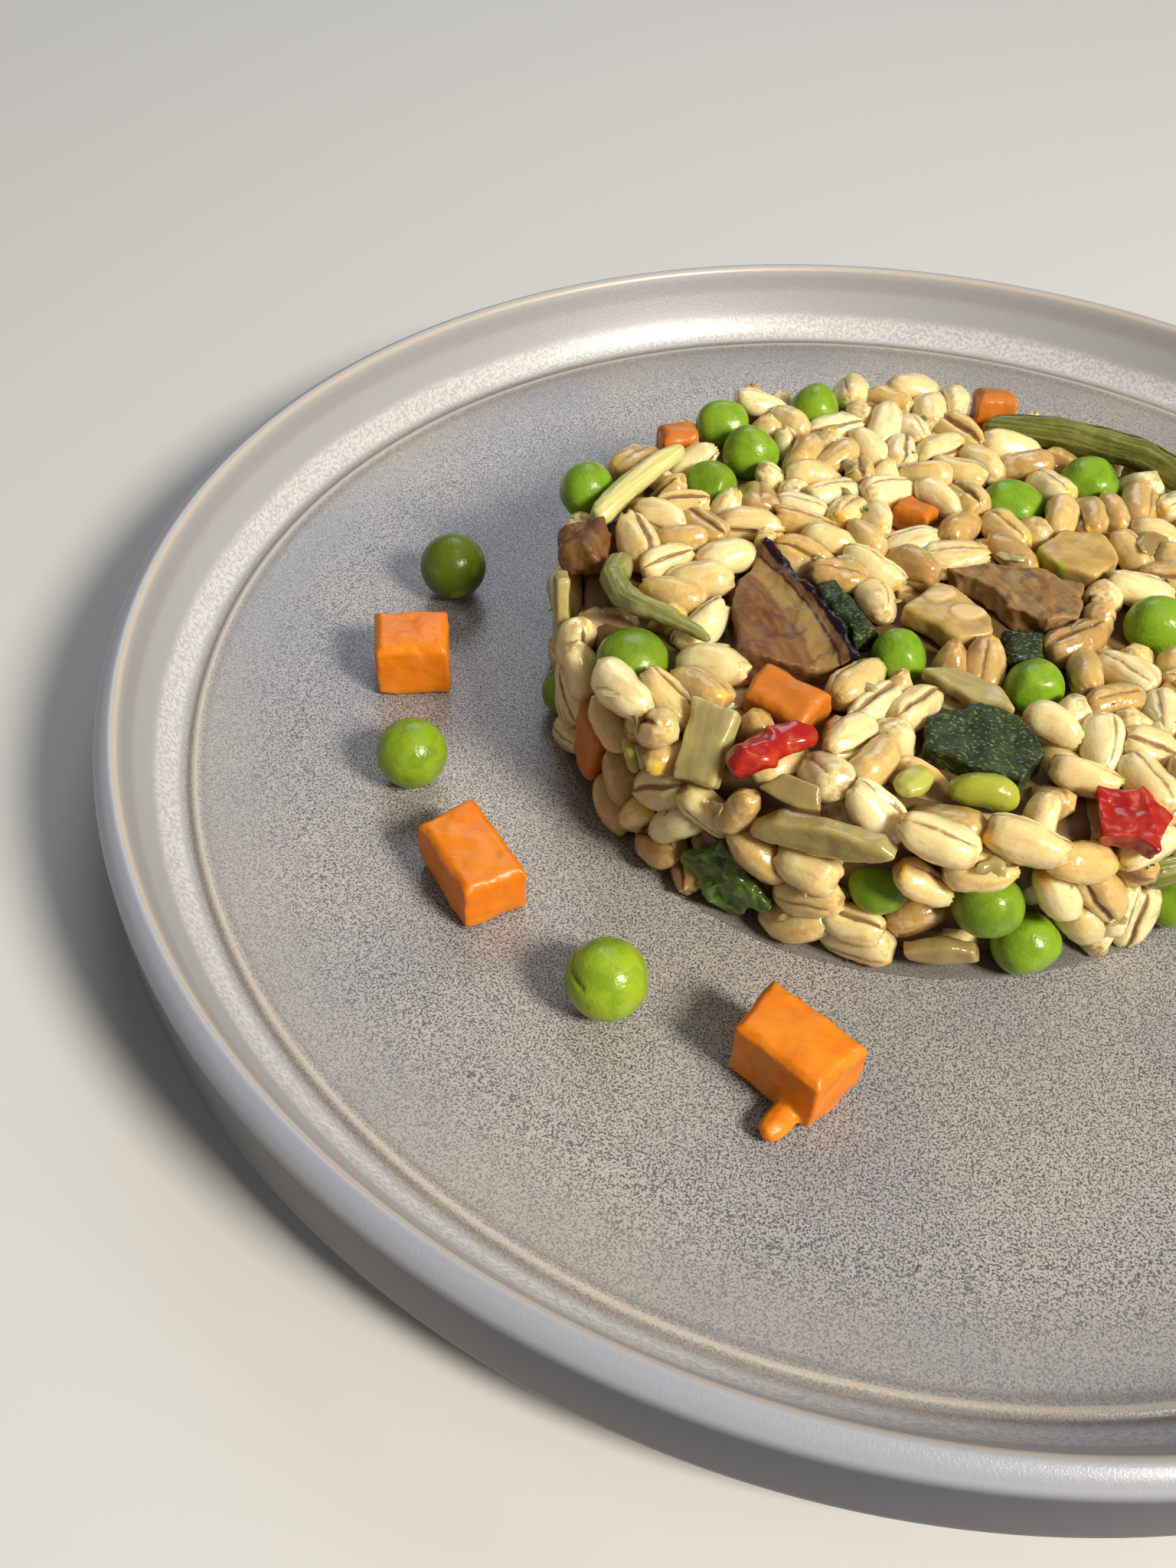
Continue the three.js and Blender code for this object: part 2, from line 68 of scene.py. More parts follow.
camera = bpy.data.objects.new("Camera", bpy.data.cameras.new("Camera"))
bpy.context.scene.collection.objects.link(camera)
bpy.context.scene.camera = camera
camera.data.sensor_width = SENSOR
camera.data.lens = FOCAL_SHARE * SENSOR
camera.data.clip_start = 0.01
turn = Matrix.Rotation(HEADING, 4, "Z") @ Matrix.Rotation(math.radians(90) + PITCH, 4, "X")
camera.matrix_world = Matrix.Translation(CAMERA_AT) @ turn @ Matrix.Rotation(ROLL, 4, "Z")
print("lens", round(camera.data.lens, 2), "mm")

# %% [markdown]
# ## A small language for finishes
# A finish is a tree of nodes. Written by hand it soon fills pages, so two small classes shorten it:
# `Value` wraps one socket and turns Python's arithmetic into Math nodes, and `Finish` holds a
# Principled shader, sets what is the same all over on its own sockets, and links what varies.

# %% Shader helpers
class Value:
    """A socket of a finish. Arithmetic on it adds Math nodes."""

    def __init__(self, finish, socket):
        self.finish, self.socket = finish, socket

    def math(self, operation, *others):
        """A Math node on this value and the others."""
        inputs = dict(enumerate((self, *others)))
        return self.finish.add("ShaderNodeMath", {"operation": operation}, inputs)

    def __add__(self, other):
        return self.math("ADD", other)

    def __sub__(self, other):
        return self.math("SUBTRACT", other)

    def __mul__(self, other):
        return self.math("MULTIPLY", other)

    def __pow__(self, other):
        return self.math("POWER", other)

    def __rsub__(self, other):
        return (self * -1) + other

    __radd__, __rmul__ = __add__, __mul__

    def ramp(self, low, high):
        """0 below low, 1 above high, smooth between. Turned round where low is above high."""
        inputs = {"Value": self, "From Min": low, "From Max": high}
        settings = {"interpolation_type": "SMOOTHSTEP"}
        return self.finish.add("ShaderNodeMapRange", settings, inputs)

    def band(self, middle, half, soft):
        """1 within half of the middle, fading to 0 over soft."""
        return (self - middle).math("ABSOLUTE").ramp(half + soft, half)

    def larger(self, other):
        """The larger of the two at each point."""
        return self.math("MAXIMUM", other)


class Finish:
    """A material with one Principled shader. Keywords are the shader's constant sockets."""

    def __init__(self, name, **constants):
        self.material = bpy.data.materials.new(name)
        self.material.use_nodes = True
        self.nodes = self.material.node_tree.nodes
        self.links = self.material.node_tree.links
        self.shader = next(n for n in self.nodes if n.type == "BSDF_PRINCIPLED")
        sockets = {s.name.lower(): s for s in self.shader.inputs}
        for key, value in constants.items():
            sockets[key.replace("_", " ")].default_value = value

    def add(self, kind, settings=None, inputs=None, output=0):
        """Adds a node: its settings first, then the values or links of its sockets."""
        node = self.nodes.new(kind)
        for key, value in (settings or {}).items():
            setattr(node, key, value)
        for key, value in (inputs or {}).items():
            self.feed(node.inputs[key], value)
        return Value(self, node.outputs[output])

    def feed(self, socket, value):
        """Links a value to a socket, or sets the socket to a plain number or colour."""
        if isinstance(value, Value):
            self.links.new(value.socket, socket)
        elif isinstance(value, tuple) and len(value) == 3 and socket.type == "RGBA":
            socket.default_value = (*value, 1)
        else:
            socket.default_value = value

    def place(self):
        """Where a point is, in the object's own metres."""
        return self.add("ShaderNodeTexCoord", output="Object")

    def stretched(self, scale, turn):
        """The object's place, turned and then scaled by axis, so that a noise in it has a grain."""
        inputs = {"Vector": self.place(), "Scale": scale, "Rotation": turn}
        return self.add("ShaderNodeMapping", None, inputs)

    def stored(self, name):
        """A number kept on the mesh under that name."""
        return self.add("ShaderNodeAttribute", {"attribute_name": name}, output="Fac")

    def noise(self, size, detail=2, vector=None, rough=0.5, distortion=0.0):
        """Noise from 0 to 1 with features of that size, in metres."""
        inputs = {"Vector": vector or self.place(), "Scale": 1 / size, "Detail": detail}
        inputs |= {"Roughness": rough, "Distortion": distortion}
        return self.add("ShaderNodeTexNoise", None, inputs)

    def vector(self, x, y, z=0.0):
        """Three numbers as one vector, for a noise that follows directions kept on the mesh."""
        return self.add("ShaderNodeCombineXYZ", None, {"X": x, "Y": y, "Z": z})

    def mix(self, share, first, second):
        """A colour between two others. The share is kept between 0 and 1."""
        settings = {"data_type": "RGBA", "clamp_factor": True}
        return self.add("ShaderNodeMix", settings, {0: share, 6: first, 7: second}, output=2)

    def relief(self, height, depth, strength):
        """Bump: height from 0 to 1 stands for that depth in metres."""
        inputs = {"Height": height, "Distance": depth, "Strength": strength}
        self.feed(self.shader.inputs["Normal"], self.add("ShaderNodeBump", None, inputs))

    def colour(self, value):
        self.feed(self.shader.inputs["Base Color"], value)

    def gloss(self, value):
        self.feed(self.shader.inputs["Roughness"], value)

# %% [markdown]
# ## The plate
# A potter throws such a plate on a wheel, so its form is one outline turned about an axis: a foot
# ring, an upright outer wall, a rounded lip, a cove down to the floor and a small raised bead where
# the floor begins. The outline is written as corners, each with a radius, and a helper rounds them.

# %% Rounded outline
NEARLY_HALF = 0.48  # of an edge, so that two rounded corners never meet
ROUNDING_STEPS = 5


def rounded(corners):
    """A polyline through corners (r, z, radius), each rounded by an arc-like curve."""
    line = []
    for i, (x, y, radius) in enumerate(corners):
        here = np.array((x, y))
        if radius == 0 or i in (0, len(corners) - 1):
            line.append(here)
            continue
        before = np.array(corners[i - 1][:2]) - here
        after = np.array(corners[i + 1][:2]) - here
        reach = min(radius, NEARLY_HALF * np.linalg.norm(before), NEARLY_HALF * np.linalg.norm(after))
        start = here + before / np.linalg.norm(before) * reach
        end = here + after / np.linalg.norm(after) * reach
        for t in np.linspace(0, 1, ROUNDING_STEPS):
            line.append((1 - t) ** 2 * start + 2 * t * (1 - t) * here + t**2 * end)
    return np.array(line)


# %% Rings, tubes and turned forms
def mesh_object(name, points, faces):
    """A new object from points in millimetres and faces, shaded smooth."""
    mesh = bpy.data.meshes.new(name)
    mesh.from_pydata((np.asarray(points) * MM).tolist(), [], faces)
    mesh.validate()
    mesh.polygons.foreach_set("use_smooth", [True] * len(mesh.polygons))
    obj = bpy.data.objects.new(name, mesh)
    bpy.context.scene.collection.objects.link(obj)
    return obj


def ring(radius, z, sides):
    """Points round the axis at height z. The radius is one number, or one for each point."""
    angles = np.arange(sides) * 2 * math.pi / sides
    return np.column_stack((radius * np.cos(angles), radius * np.sin(angles), np.full(sides, z)))


def tube_faces(rings, sides):
    """Faces of a closed tube of rings, with one more point at each end."""
    count, faces = rings * sides, []
    for k in range(sides):
        after, last = (k + 1) % sides, (rings - 1) * sides
        faces.append((count, k, after))
        faces.append((count + 1, last + after, last + k))
        for low in range(0, last, sides):
            faces.append((low + k, low + sides + k, low + sides + after, low + after))
    return faces


def turned(name, outline, sides):
    """Turns an outline (r, z) about Z. Its first and last points lie on the axis."""
    rings = [ring(r, z, sides) for r, z in outline[1:-1]]
    ends = [[0, 0, outline[0][1]], [0, 0, outline[-1][1]]]
    faces = [(first, *rest[::-1]) for first, *rest in tube_faces(len(rings), sides)]
    return mesh_object(name, np.vstack(rings + ends), faces)


# %% The plate's own outline
PLATE_RADIUS, SHOULDER_RADIUS, LIP_RADIUS, LIP = 110, 109.2, 106.9, 19.8
FOOT_INNER, FOOT_OUTER, UNDER, FLOOR = 63, 69, 2.4, 7
BEAD_RADIUS, GROOVE_RADIUS, GROOVE = 98.9, 100.1, 8.1
COVE_TOP, COVE_POWER, COVE_STEPS = LIP - 0.5, 1.6, 14
PLATE_SIDES = 288
cove = [
    (GROOVE_RADIUS + (LIP_RADIUS - GROOVE_RADIUS) * s, GROOVE + (COVE_TOP - GROOVE) * s**COVE_POWER, 0)
    for s in np.linspace(1, 0, COVE_STEPS)[1:]
]
# Each corner: distance from the axis, height, and how far its rounding reaches.
PLATE_CORNERS = [
    (0, UNDER, 0), (FOOT_INNER - 2, UNDER, 1), (FOOT_INNER, 0, 0.8), (FOOT_OUTER, 0, 0.8),
    (FOOT_OUTER + 2, UNDER, 1), (101, 3, 4), (108, 4.4, 2.4), (PLATE_RADIUS, 6.6, 2),
    (PLATE_RADIUS, 17.9, 1.6), (SHOULDER_RADIUS, 19.1, 0.9), (107.7, LIP, 0.7),
    (LIP_RADIUS, COVE_TOP, 0.5), *cove, (GROOVE_RADIUS - 0.3, GROOVE, 0.3),
    (BEAD_RADIUS + 0.2, 8.5, 0.6), (BEAD_RADIUS - 0.7, 8.3, 0.6), (97.4, 7.96, 2), (84.9, FLOOR, 8),
    (40, FLOOR, 0), (0, FLOOR, 0),
]
plate = turned("plate_glazed", rounded(PLATE_CORNERS), PLATE_SIDES)
print(len(PLATE_CORNERS), "corners turned in", PLATE_SIDES, "steps")

# %% [markdown]
# ### A reactive glaze
# The glaze is a satin grey that broke into a fine maze of pale and dark while it cooled. It thins on
# raised edges, where the tan clay shows through. So the material mixes two greys by a tight noise,
# clouds them by a wide one, and paints the bead and the lip by their distance from the axis. By that
# distance it also paints shade into the groove and beside the bead and the lip. It paints a pale band
# low in the cove that is partly whiter glaze and partly painted reflection, and a dark blue outer wall
# that is made darker still as painted shade.

# %% Glaze
glaze = Finish("reactive_glaze", coat_weight=0.2, coat_roughness=0.22)
DARK_GREY, PALE_GREY, WARM_GREY = (0.058, 0.064, 0.082), (0.345, 0.345, 0.36), (0.49, 0.44, 0.38)
RIM_BLUE, BLUE_GLAZE_AND_SHADE, CLAY = (0.33, 0.345, 0.40), (0.028, 0.032, 0.05), (0.56, 0.46, 0.36)
COVE_GREY, PALE_BAND_AND_REFLECTION, SHADE = (0.385, 0.38, 0.385), (0.66, 0.65, 0.645), (0.20, 0.16, 0.13)
x, y, z = (glaze.add("ShaderNodeSeparateXYZ", None, {0: glaze.place()}, output=i) for i in range(3))
reach = (x * x + y * y) ** 0.5 * (1 / MM)  # millimetres from the plate's axis
level = z * (1 / MM)

# %% The maze and the floor
ridge = (glaze.noise(0.34 * MM, detail=1.5, distortion=0.5) - 0.5).math("ABSOLUTE")
maze = (ridge * 1.1 + glaze.noise(0.26 * MM, detail=1) * 0.6).ramp(0.28, 0.43)
cloud = glaze.noise(38 * MM, detail=2)
streak = glaze.noise(9 * MM, detail=3)
calm = reach.ramp(84, 96) * 0.5 + streak * 0.18
pale = glaze.mix(cloud.ramp(0.3, 0.8), WARM_GREY, PALE_GREY)
body = glaze.mix(maze * (1 - calm) + calm * 0.6, DARK_GREY, pale)

# %% The bands of the rim
speckle = glaze.noise(0.55 * MM, detail=2).ramp(0.38, 0.6)
wander = (glaze.noise(14 * MM, detail=2) - 0.5) * 0.5
cove_wall = glaze.mix(speckle * 0.3 + streak * 0.3, COVE_GREY, PALE_GREY)
body = glaze.mix(reach.ramp(GROOVE_RADIUS, GROOVE_RADIUS + 0.8), body, cove_wall)
# a pale band low in the cove: partly whiter glaze, partly painted reflection of light
pale_band_and_reflection = (reach + wander).band(GROOVE_RADIUS + 2.1, 0.8, 0.9)
body = glaze.mix(pale_band_and_reflection * (speckle * 0.6 + 0.25), body, PALE_BAND_AND_REFLECTION)
rim_top = reach.ramp(LIP_RADIUS + 0.5, LIP_RADIUS + 1.1)
body = glaze.mix(rim_top * (0.95 - speckle * 0.3), body, RIM_BLUE)
# the outer wall: dark blue-grey glaze, made darker still as painted shade
outside = reach.ramp(SHOULDER_RADIUS, PLATE_RADIUS - 0.05) * level.ramp(18.6, 16.4)
body = glaze.mix(outside, body, BLUE_GLAZE_AND_SHADE)
shade = reach.band(GROOVE_RADIUS - 0.2, 0.15, 0.5) * 0.6
shade = shade.larger(reach.band(BEAD_RADIUS - 1.3, 0.2, 0.7) * 0.35)
shade = shade.larger(reach.band(LIP_RADIUS - 0.9, 0.2, 0.6) * 0.3)
body = glaze.mix(shade, body, SHADE)
bare = (reach + wander * 0.6).band(BEAD_RADIUS, 0.12, 0.4) * 0.65
bare = bare.larger((reach + wander * 0.4).band(LIP_RADIUS + 0.15, 0.08, 0.35) * 0.8)
glaze.colour(glaze.mix(bare, body, CLAY))
glaze.gloss(0.40 - maze * 0.1 * (1 - outside) + outside * 0.05)
glaze.relief(maze * (1 - calm) * (1 - outside), 0.03 * MM, 0.6)


# %% Finishing a piece
def finish_piece(piece, finish, slot, *nodes):
    """Gives a piece its material, ties it to the dish and lets it stand for its CAD nodes."""
    piece.data.materials.clear()
    piece.data.materials.append(finish.material)
    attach(piece, "root")
    if nodes:
        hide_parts(*nodes)
    print(piece.name, len(piece.data.polygons), "faces")


finish_piece(plate, glaze, "glaze", "plate")

# %% [markdown]
# ## Where the grains go
# A few hundred cooked grains fill the mould, so placing them one by one is hopeless, and dropping
# them at random leaves holes and piles. Instead each grain is three balls in a row, and the balls
# push each other apart a little at a time until they fit: against the mould's wall and flat top,
# and round the vegetables, whose places the model gives. Only the outer two layers are made.

# %% The mould and the vegetables in it
CENTRE = np.array((-1.6, 1.2))
MOULD_RADIUS, MOULD_TOP, MOULD_BASE, SHELL = 50.0, 31.9, 7.12, 10.5
IN_FARRO = sorted(n for n in NODES if n not in ("plate", "farro") and not n.startswith("loose"))
FILL_STEP, FILL_RADIUS, FILL_INSET = 1.7, 1.25, 0.5


def filled(node):
    """Points on a grid inside a CAD node, in millimetres."""
    mesh = NODES[node].data
    tree = BVHTree.FromPolygons([v.co for v in mesh.vertices], [p.vertices for p in mesh.polygons])
    low, high = (np.array(c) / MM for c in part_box(node))
    counts = np.maximum(2, np.ceil((high - low) / FILL_STEP).astype(int) + 1)
    spans = zip(low + FILL_INSET, high - FILL_INSET, counts)
    axes = [np.linspace(*span) for span in spans]
    inside = []
    for p in np.stack(np.meshgrid(*axes, indexing="ij"), -1).reshape(-1, 3):
        spot, normal, _, _ = tree.find_nearest(Vector(p * MM))
        if (Vector(p * MM) - spot).dot(normal) < 0:
            inside.append(p)
    return np.array(inside).reshape(-1, 3)


obstacles = np.vstack([filled(n) for n in IN_FARRO])
obstacles[:, :2] -= CENTRE
print(len(obstacles), "balls stand for", len(IN_FARRO), "vegetables")

# %% Starting places: a sunflower spread on each layer
rng = np.random.default_rng(7)
GOLDEN = math.pi * (3 - math.sqrt(5))
GRAIN_AREA = 35.0  # square millimetres of surface for each grain
LAYER_DEPTHS = (2.4, 6.9)
EDGE_GAP, FOOT_GAP = 3, 2  # what the wall's grains leave free above and below
SCATTER, CLEAR_OF_VEGETABLES = 0.7, 2.0
SMALLEST, LARGEST = 0.86, 1.08


def layer(depth):
    """Grain middles on the top disc and on the wall, at that depth below the surface."""
    radius, top = MOULD_RADIUS - depth, MOULD_TOP - depth
    count = int(math.pi * radius**2 / GRAIN_AREA)
    k = np.arange(count)
    rho, phi = radius * np.sqrt((k + 0.5) / count), k * GOLDEN
    disc = np.column_stack((rho * np.cos(phi), rho * np.sin(phi), np.full(count, top)))
    height = top - EDGE_GAP - MOULD_BASE - FOOT_GAP
    count = int(2 * math.pi * radius * height / GRAIN_AREA)
    k = np.arange(count)
    phi, z = k * GOLDEN, MOULD_BASE + FOOT_GAP + height * (k + 0.5) / count
    wall = np.column_stack((radius * np.cos(phi), radius * np.sin(phi), z))
    return np.vstack((disc, wall))


middles = np.vstack([layer(d) for d in LAYER_DEPTHS])
middles += rng.normal(0, SCATTER, middles.shape)
near = np.linalg.norm(middles[:, None] - obstacles[None], axis=2).min(1)
middles = middles[near > CLEAR_OF_VEGETABLES]
axes = rng.normal(size=middles.shape)
axes /= np.linalg.norm(axes, axis=1, keepdims=True)
sizes = rng.uniform(SMALLEST, LARGEST, len(middles))
print(len(middles), "grains")

# %% [markdown]
# ### Letting them settle
# Each round finds the balls that overlap, moves both part of the way out, and then holds every ball
# inside the mould. A grain follows the mean of its three balls, and its axis follows the two ends. A
# small pull outwards keeps the surface tight, and stops for the last rounds. Neighbours change
# slowly, so they are looked up now and then.

# %% Settle
END_REACH, BALL_RADII = 2.35, np.array((2.05, 2.45, 2.05))
SLACK = 0.94  # cooked grains press into each other
ROUNDS, CALM_ROUNDS, LOOK_UP, PULL = 140, 20, 10, 0.07
EASE, LONGEST_MOVE = 0.45, 0.6  # share of each push that is taken, and its limit
NEAR_GRAIN, NEAR_VEGETABLE, BLOCK = 6.0, 5.0, 400


def close_pairs(balls, others, reach):
    """Index pairs of a ball and another nearer than reach, looked up a block at a time."""
    first, second = [], []
    for start in range(0, len(balls), BLOCK):
        block = balls[start : start + BLOCK]
        i, j = np.nonzero(((block[:, None] - others[None]) ** 2).sum(2) < reach**2)
        first.append(i + start)
        second.append(j)
    return np.concatenate(first), np.concatenate(second)


def push_out(move, balls, i, target, j=None, other=None):
    """Adds to move what parts ball i from ball j, or from the fixed ball other."""
    apart = balls[i] - (balls[j] if other is None else other)
    distance = np.maximum(np.linalg.norm(apart, axis=1), 1e-6)
    lack = np.maximum(target - distance, 0)
    step = apart / distance[:, None] * lack[:, None]
    share = 0.5 if other is None else 1.0
    np.add.at(move, i, step * share)
    if other is None:
        np.add.at(move, j, -step * share)


def hold_in_mould(balls, radii):
    """Keeps balls inside the wall, top and base. One sunk below the shell comes half way back."""
    rho = np.maximum(np.linalg.norm(balls[:, :2], axis=1), 1e-6)
    limit = MOULD_RADIUS - radii
    balls[:, :2] *= np.minimum(1, limit / rho)[:, None]
    balls[:, 2] = np.clip(balls[:, 2], MOULD_BASE + radii, MOULD_TOP - radii)
    deep = np.minimum(MOULD_RADIUS - rho, MOULD_TOP - balls[:, 2]) - SHELL
    sunk = deep > 0
    towards_top = MOULD_TOP - balls[:, 2] < MOULD_RADIUS - rho
    lift = sunk & towards_top
    balls[lift, 2] += 0.5 * deep[lift]
    out = sunk & ~towards_top
    balls[out, :2] *= (1 + 0.5 * deep[out] / rho[out])[:, None]


def settle(middles, axes, sizes):
    """The grains' middles and axes after every round of pushing apart."""
    count = len(middles)
    owner = np.tile(np.arange(count), 3)
    radii = np.concatenate([sizes * r for r in BALL_RADII])
    for step in range(ROUNDS):
        arm = axes * END_REACH * sizes[:, None]
        balls = np.vstack((middles - arm, middles, middles + arm))
        if step % LOOK_UP == 0:
            i, j = close_pairs(balls, balls, NEAR_GRAIN)
            parted = (i < j) & (owner[i] != owner[j])
            i, j = i[parted], j[parted]
            a, b = close_pairs(balls, obstacles, NEAR_VEGETABLE)
        move = np.zeros_like(balls)
        push_out(move, balls, i, (radii[i] + radii[j]) * SLACK, j=j)
        push_out(move, balls, a, radii[a] + FILL_RADIUS, other=obstacles[b])
        balls += np.clip(move * EASE, -LONGEST_MOVE, LONGEST_MOVE)
        rho = np.linalg.norm(balls[:, :2], axis=1)
        to_top = (MOULD_TOP - balls[:, 2]) < (MOULD_RADIUS - rho)
        pull = PULL if step < ROUNDS - CALM_ROUNDS else 0
        balls[to_top, 2] += pull
        balls[~to_top, :2] *= (1 + pull / np.maximum(rho[~to_top], 1))[:, None]
        hold_in_mould(balls, radii)
        low, middle, high = balls[:count], balls[count : 2 * count], balls[2 * count :]
        middles = (low + middle + high) / 3
        axes = high - low
        axes /= np.linalg.norm(axes, axis=1, keepdims=True)
    return middles, axes


middles, axes = settle(middles, axes, sizes)
depth = np.minimum(MOULD_RADIUS - np.linalg.norm(middles[:, :2], axis=1), MOULD_TOP - middles[:, 2])
SHOWN_DEPTH = 4  # a grain with its middle nearer to the surface than this shows
shown = depth < SHOWN_DEPTH
print(f"{shown.sum()} grains show, {(~shown).sum()} lie under them")

# %% [markdown]
# ## One grain, five ways
# A pearled grain is a plump oval with a crease along one side and a ragged tuft where the polishing
# stopped. Some come out smooth, some slim, some with a deep brown crease, and some burst in the pan.
# Each kind is one mesh with four numbers stored on its points: how deep in the crease a point lies,
# how near a tip, how far along the grain and how far round it. The material reads them all. A sixth
# and much plainer kind serves the grains that lie under the others.

# %% Grain forms
HALF_LENGTH, HALF_WIDTH, HALF_THICK = 4.3, 2.7, 2.5


def store(obj, name, numbers):
    """Keeps a number or a vector for each point on the mesh, or one number for all of them."""
    numbers = np.asarray(numbers, dtype=np.float32)
    if numbers.ndim == 0:
        numbers = np.full(len(obj.data.vertices), numbers)
    kind, field = ("FLOAT", "value") if numbers.ndim == 1 else ("FLOAT_VECTOR", "vector")
    obj.data.attributes.new(name, kind, "POINT").data.foreach_set(field, numbers.ravel())


def grain_form(name, crease, width, ragged, blunt, seed, rings=20, sides=22):
    """A grain along X, its crease up. Width is the crease's, in radians, and ragged is in mm."""
    draw = np.random.default_rng(seed)
    u = np.linspace(-1, 1, rings)[:, None]
    u = np.sign(u) * np.abs(u) ** 0.75
    turn = np.linspace(-1, 1, sides, endpoint=False)[None]
    turn = math.pi * np.sign(turn) * np.abs(turn) ** 1.8
    away = np.abs(turn)
    groove = np.exp(-((away / width) ** 2)) * np.ones_like(u)
    lips = np.exp(-(((away - 2.3 * width) / (1.2 * width)) ** 2))
    tip = np.clip((np.abs(u) - 0.7) / 0.3, 0, 1)
    open_crease = crease * (1 - 0.55 * tip)
    girth = (1 - np.abs(u * blunt) ** 2.75) ** 0.52 * (1 - 0.11 * u)
    valley = np.exp(-((away / 0.6) ** 2))
    lumps = 1 + 0.05 * np.cos(2 * turn + draw.uniform(0, 6))
    lumps = lumps + 0.04 * np.cos(3 * turn + 2 * u + draw.uniform(0, 6))
    lumps = lumps + 0.07 * ragged * tip * np.cos(7 * turn + draw.uniform(0, 6))
    radius = girth * lumps * (1 - open_crease * (0.28 * groove + 0.13 * valley - 0.05 * lips))
    frill = draw.uniform(-0.5, 1.0, sides)[None] * np.where(u > 0, 1.0, 0.35) * np.sign(u)
    reach = u * HALF_LENGTH + ragged * tip**2 * frill
    y, z = radius * HALF_WIDTH * np.sin(turn), radius * HALF_THICK * np.cos(turn)
    points = np.stack((reach, y, z + 0.3 * u * u - 0.15), -1).reshape(-1, 3)
    ends = [(-HALF_LENGTH, 0, 0.1), (HALF_LENGTH - 0.25 * ragged, 0, 0.1)]
    form = mesh_object(name, np.vstack((points, ends)), tube_faces(rings, sides))
    store(form, "crease", np.append(groove * np.minimum(1, 1.7 * open_crease), [0, 0]))
    store(form, "tip", np.append(tip * np.ones_like(turn), [1, 1]))
    store(form, "along", np.append(reach, [-HALF_LENGTH, HALF_LENGTH]))
    store(form, "round", np.append(turn * np.ones_like(u), [0, 0]))
    return form


GRAIN_KINDS = {
    "grains_plump": dict(crease=0.3, width=0.15, ragged=0.35, blunt=0.92, seed=1),
    "grains_creased": dict(crease=0.8, width=0.16, ragged=0.4, blunt=0.905, seed=2),
    "grains_open": dict(crease=1.0, width=0.2, ragged=0.55, blunt=0.89, seed=3),
    "grains_burst": dict(crease=0.9, width=0.22, ragged=0.9, blunt=0.87, seed=5),
    "grains_slim": dict(crease=0.6, width=0.13, ragged=0.35, blunt=0.94, seed=7),
}
SHARES = (0.42, 0.32, 0.08, 0.08, 0.1)  # of the grains that show, in the same order
HIDDEN_KIND = dict(crease=0.5, width=0.4, ragged=0.3, blunt=0.95, seed=4, rings=7, sides=8)

# %% [markdown]
# ### From points to grains
# Geometry Nodes set one grain on each point, turned and sized by numbers stored on the points. Then
# the instances are realized, and a noise moves every point of the mesh a little, so that no two
# grains keep the same outline.

# %% The tree that lays grains
def new_tree(name, inputs):
    """A geometry tree with Geometry in and out, and the named inputs after it."""
    tree = bpy.data.node_groups.new(name, "GeometryNodeTree")
    face = tree.interface
    face.new_socket("Geometry", in_out="INPUT", socket_type="NodeSocketGeometry")
    for label, kind in inputs:
        face.new_socket(label, in_out="INPUT", socket_type=kind)
    face.new_socket("Geometry", in_out="OUTPUT", socket_type="NodeSocketGeometry")
    return tree, tree.nodes.new("NodeGroupInput"), tree.nodes.new("NodeGroupOutput")


def geo_node(tree, kind, settings=None, inputs=None):
    """A node of a geometry tree: settings first, then links or values of its inputs."""
    node = tree.nodes.new(kind)
    for key, value in (settings or {}).items():
        setattr(node, key, value)
    for key, value in (inputs or {}).items():
        if isinstance(value, bpy.types.NodeSocket):
            tree.links.new(value, node.inputs[key])
        else:
            node.inputs[key].default_value = value
    return node


def named(tree, name):
    """A vector kept on the points under that name."""
    settings = {"data_type": "FLOAT_VECTOR"}
    node = geo_node(tree, "GeometryNodeInputNamedAttribute", settings, {"Name": name})
    return node.outputs["Attribute"]


def wobble(tree, geometry, size, amount):
    """Moves each point by a noise with features of that size."""
    where = geo_node(tree, "GeometryNodeInputPosition").outputs[0]
    scale = geo_node(tree, "ShaderNodeMath", {"operation": "DIVIDE"}, {0: 1.0, 1: size}).outputs[0]
    inputs = {"Vector": where, "Scale": scale, "Detail": 1.0}
    noise = geo_node(tree, "ShaderNodeTexNoise", None, inputs).outputs["Color"]
    middle = {0: noise, 1: (0.5, 0.5, 0.5)}
    centred = geo_node(tree, "ShaderNodeVectorMath", {"operation": "SUBTRACT"}, middle).outputs[0]
    scaled = {0: centred, "Scale": amount}
    offset = geo_node(tree, "ShaderNodeVectorMath", {"operation": "SCALE"}, scaled).outputs[0]
    inputs = {"Geometry": geometry, "Offset": offset}
    return geo_node(tree, "GeometryNodeSetPosition", None, inputs).outputs[0]


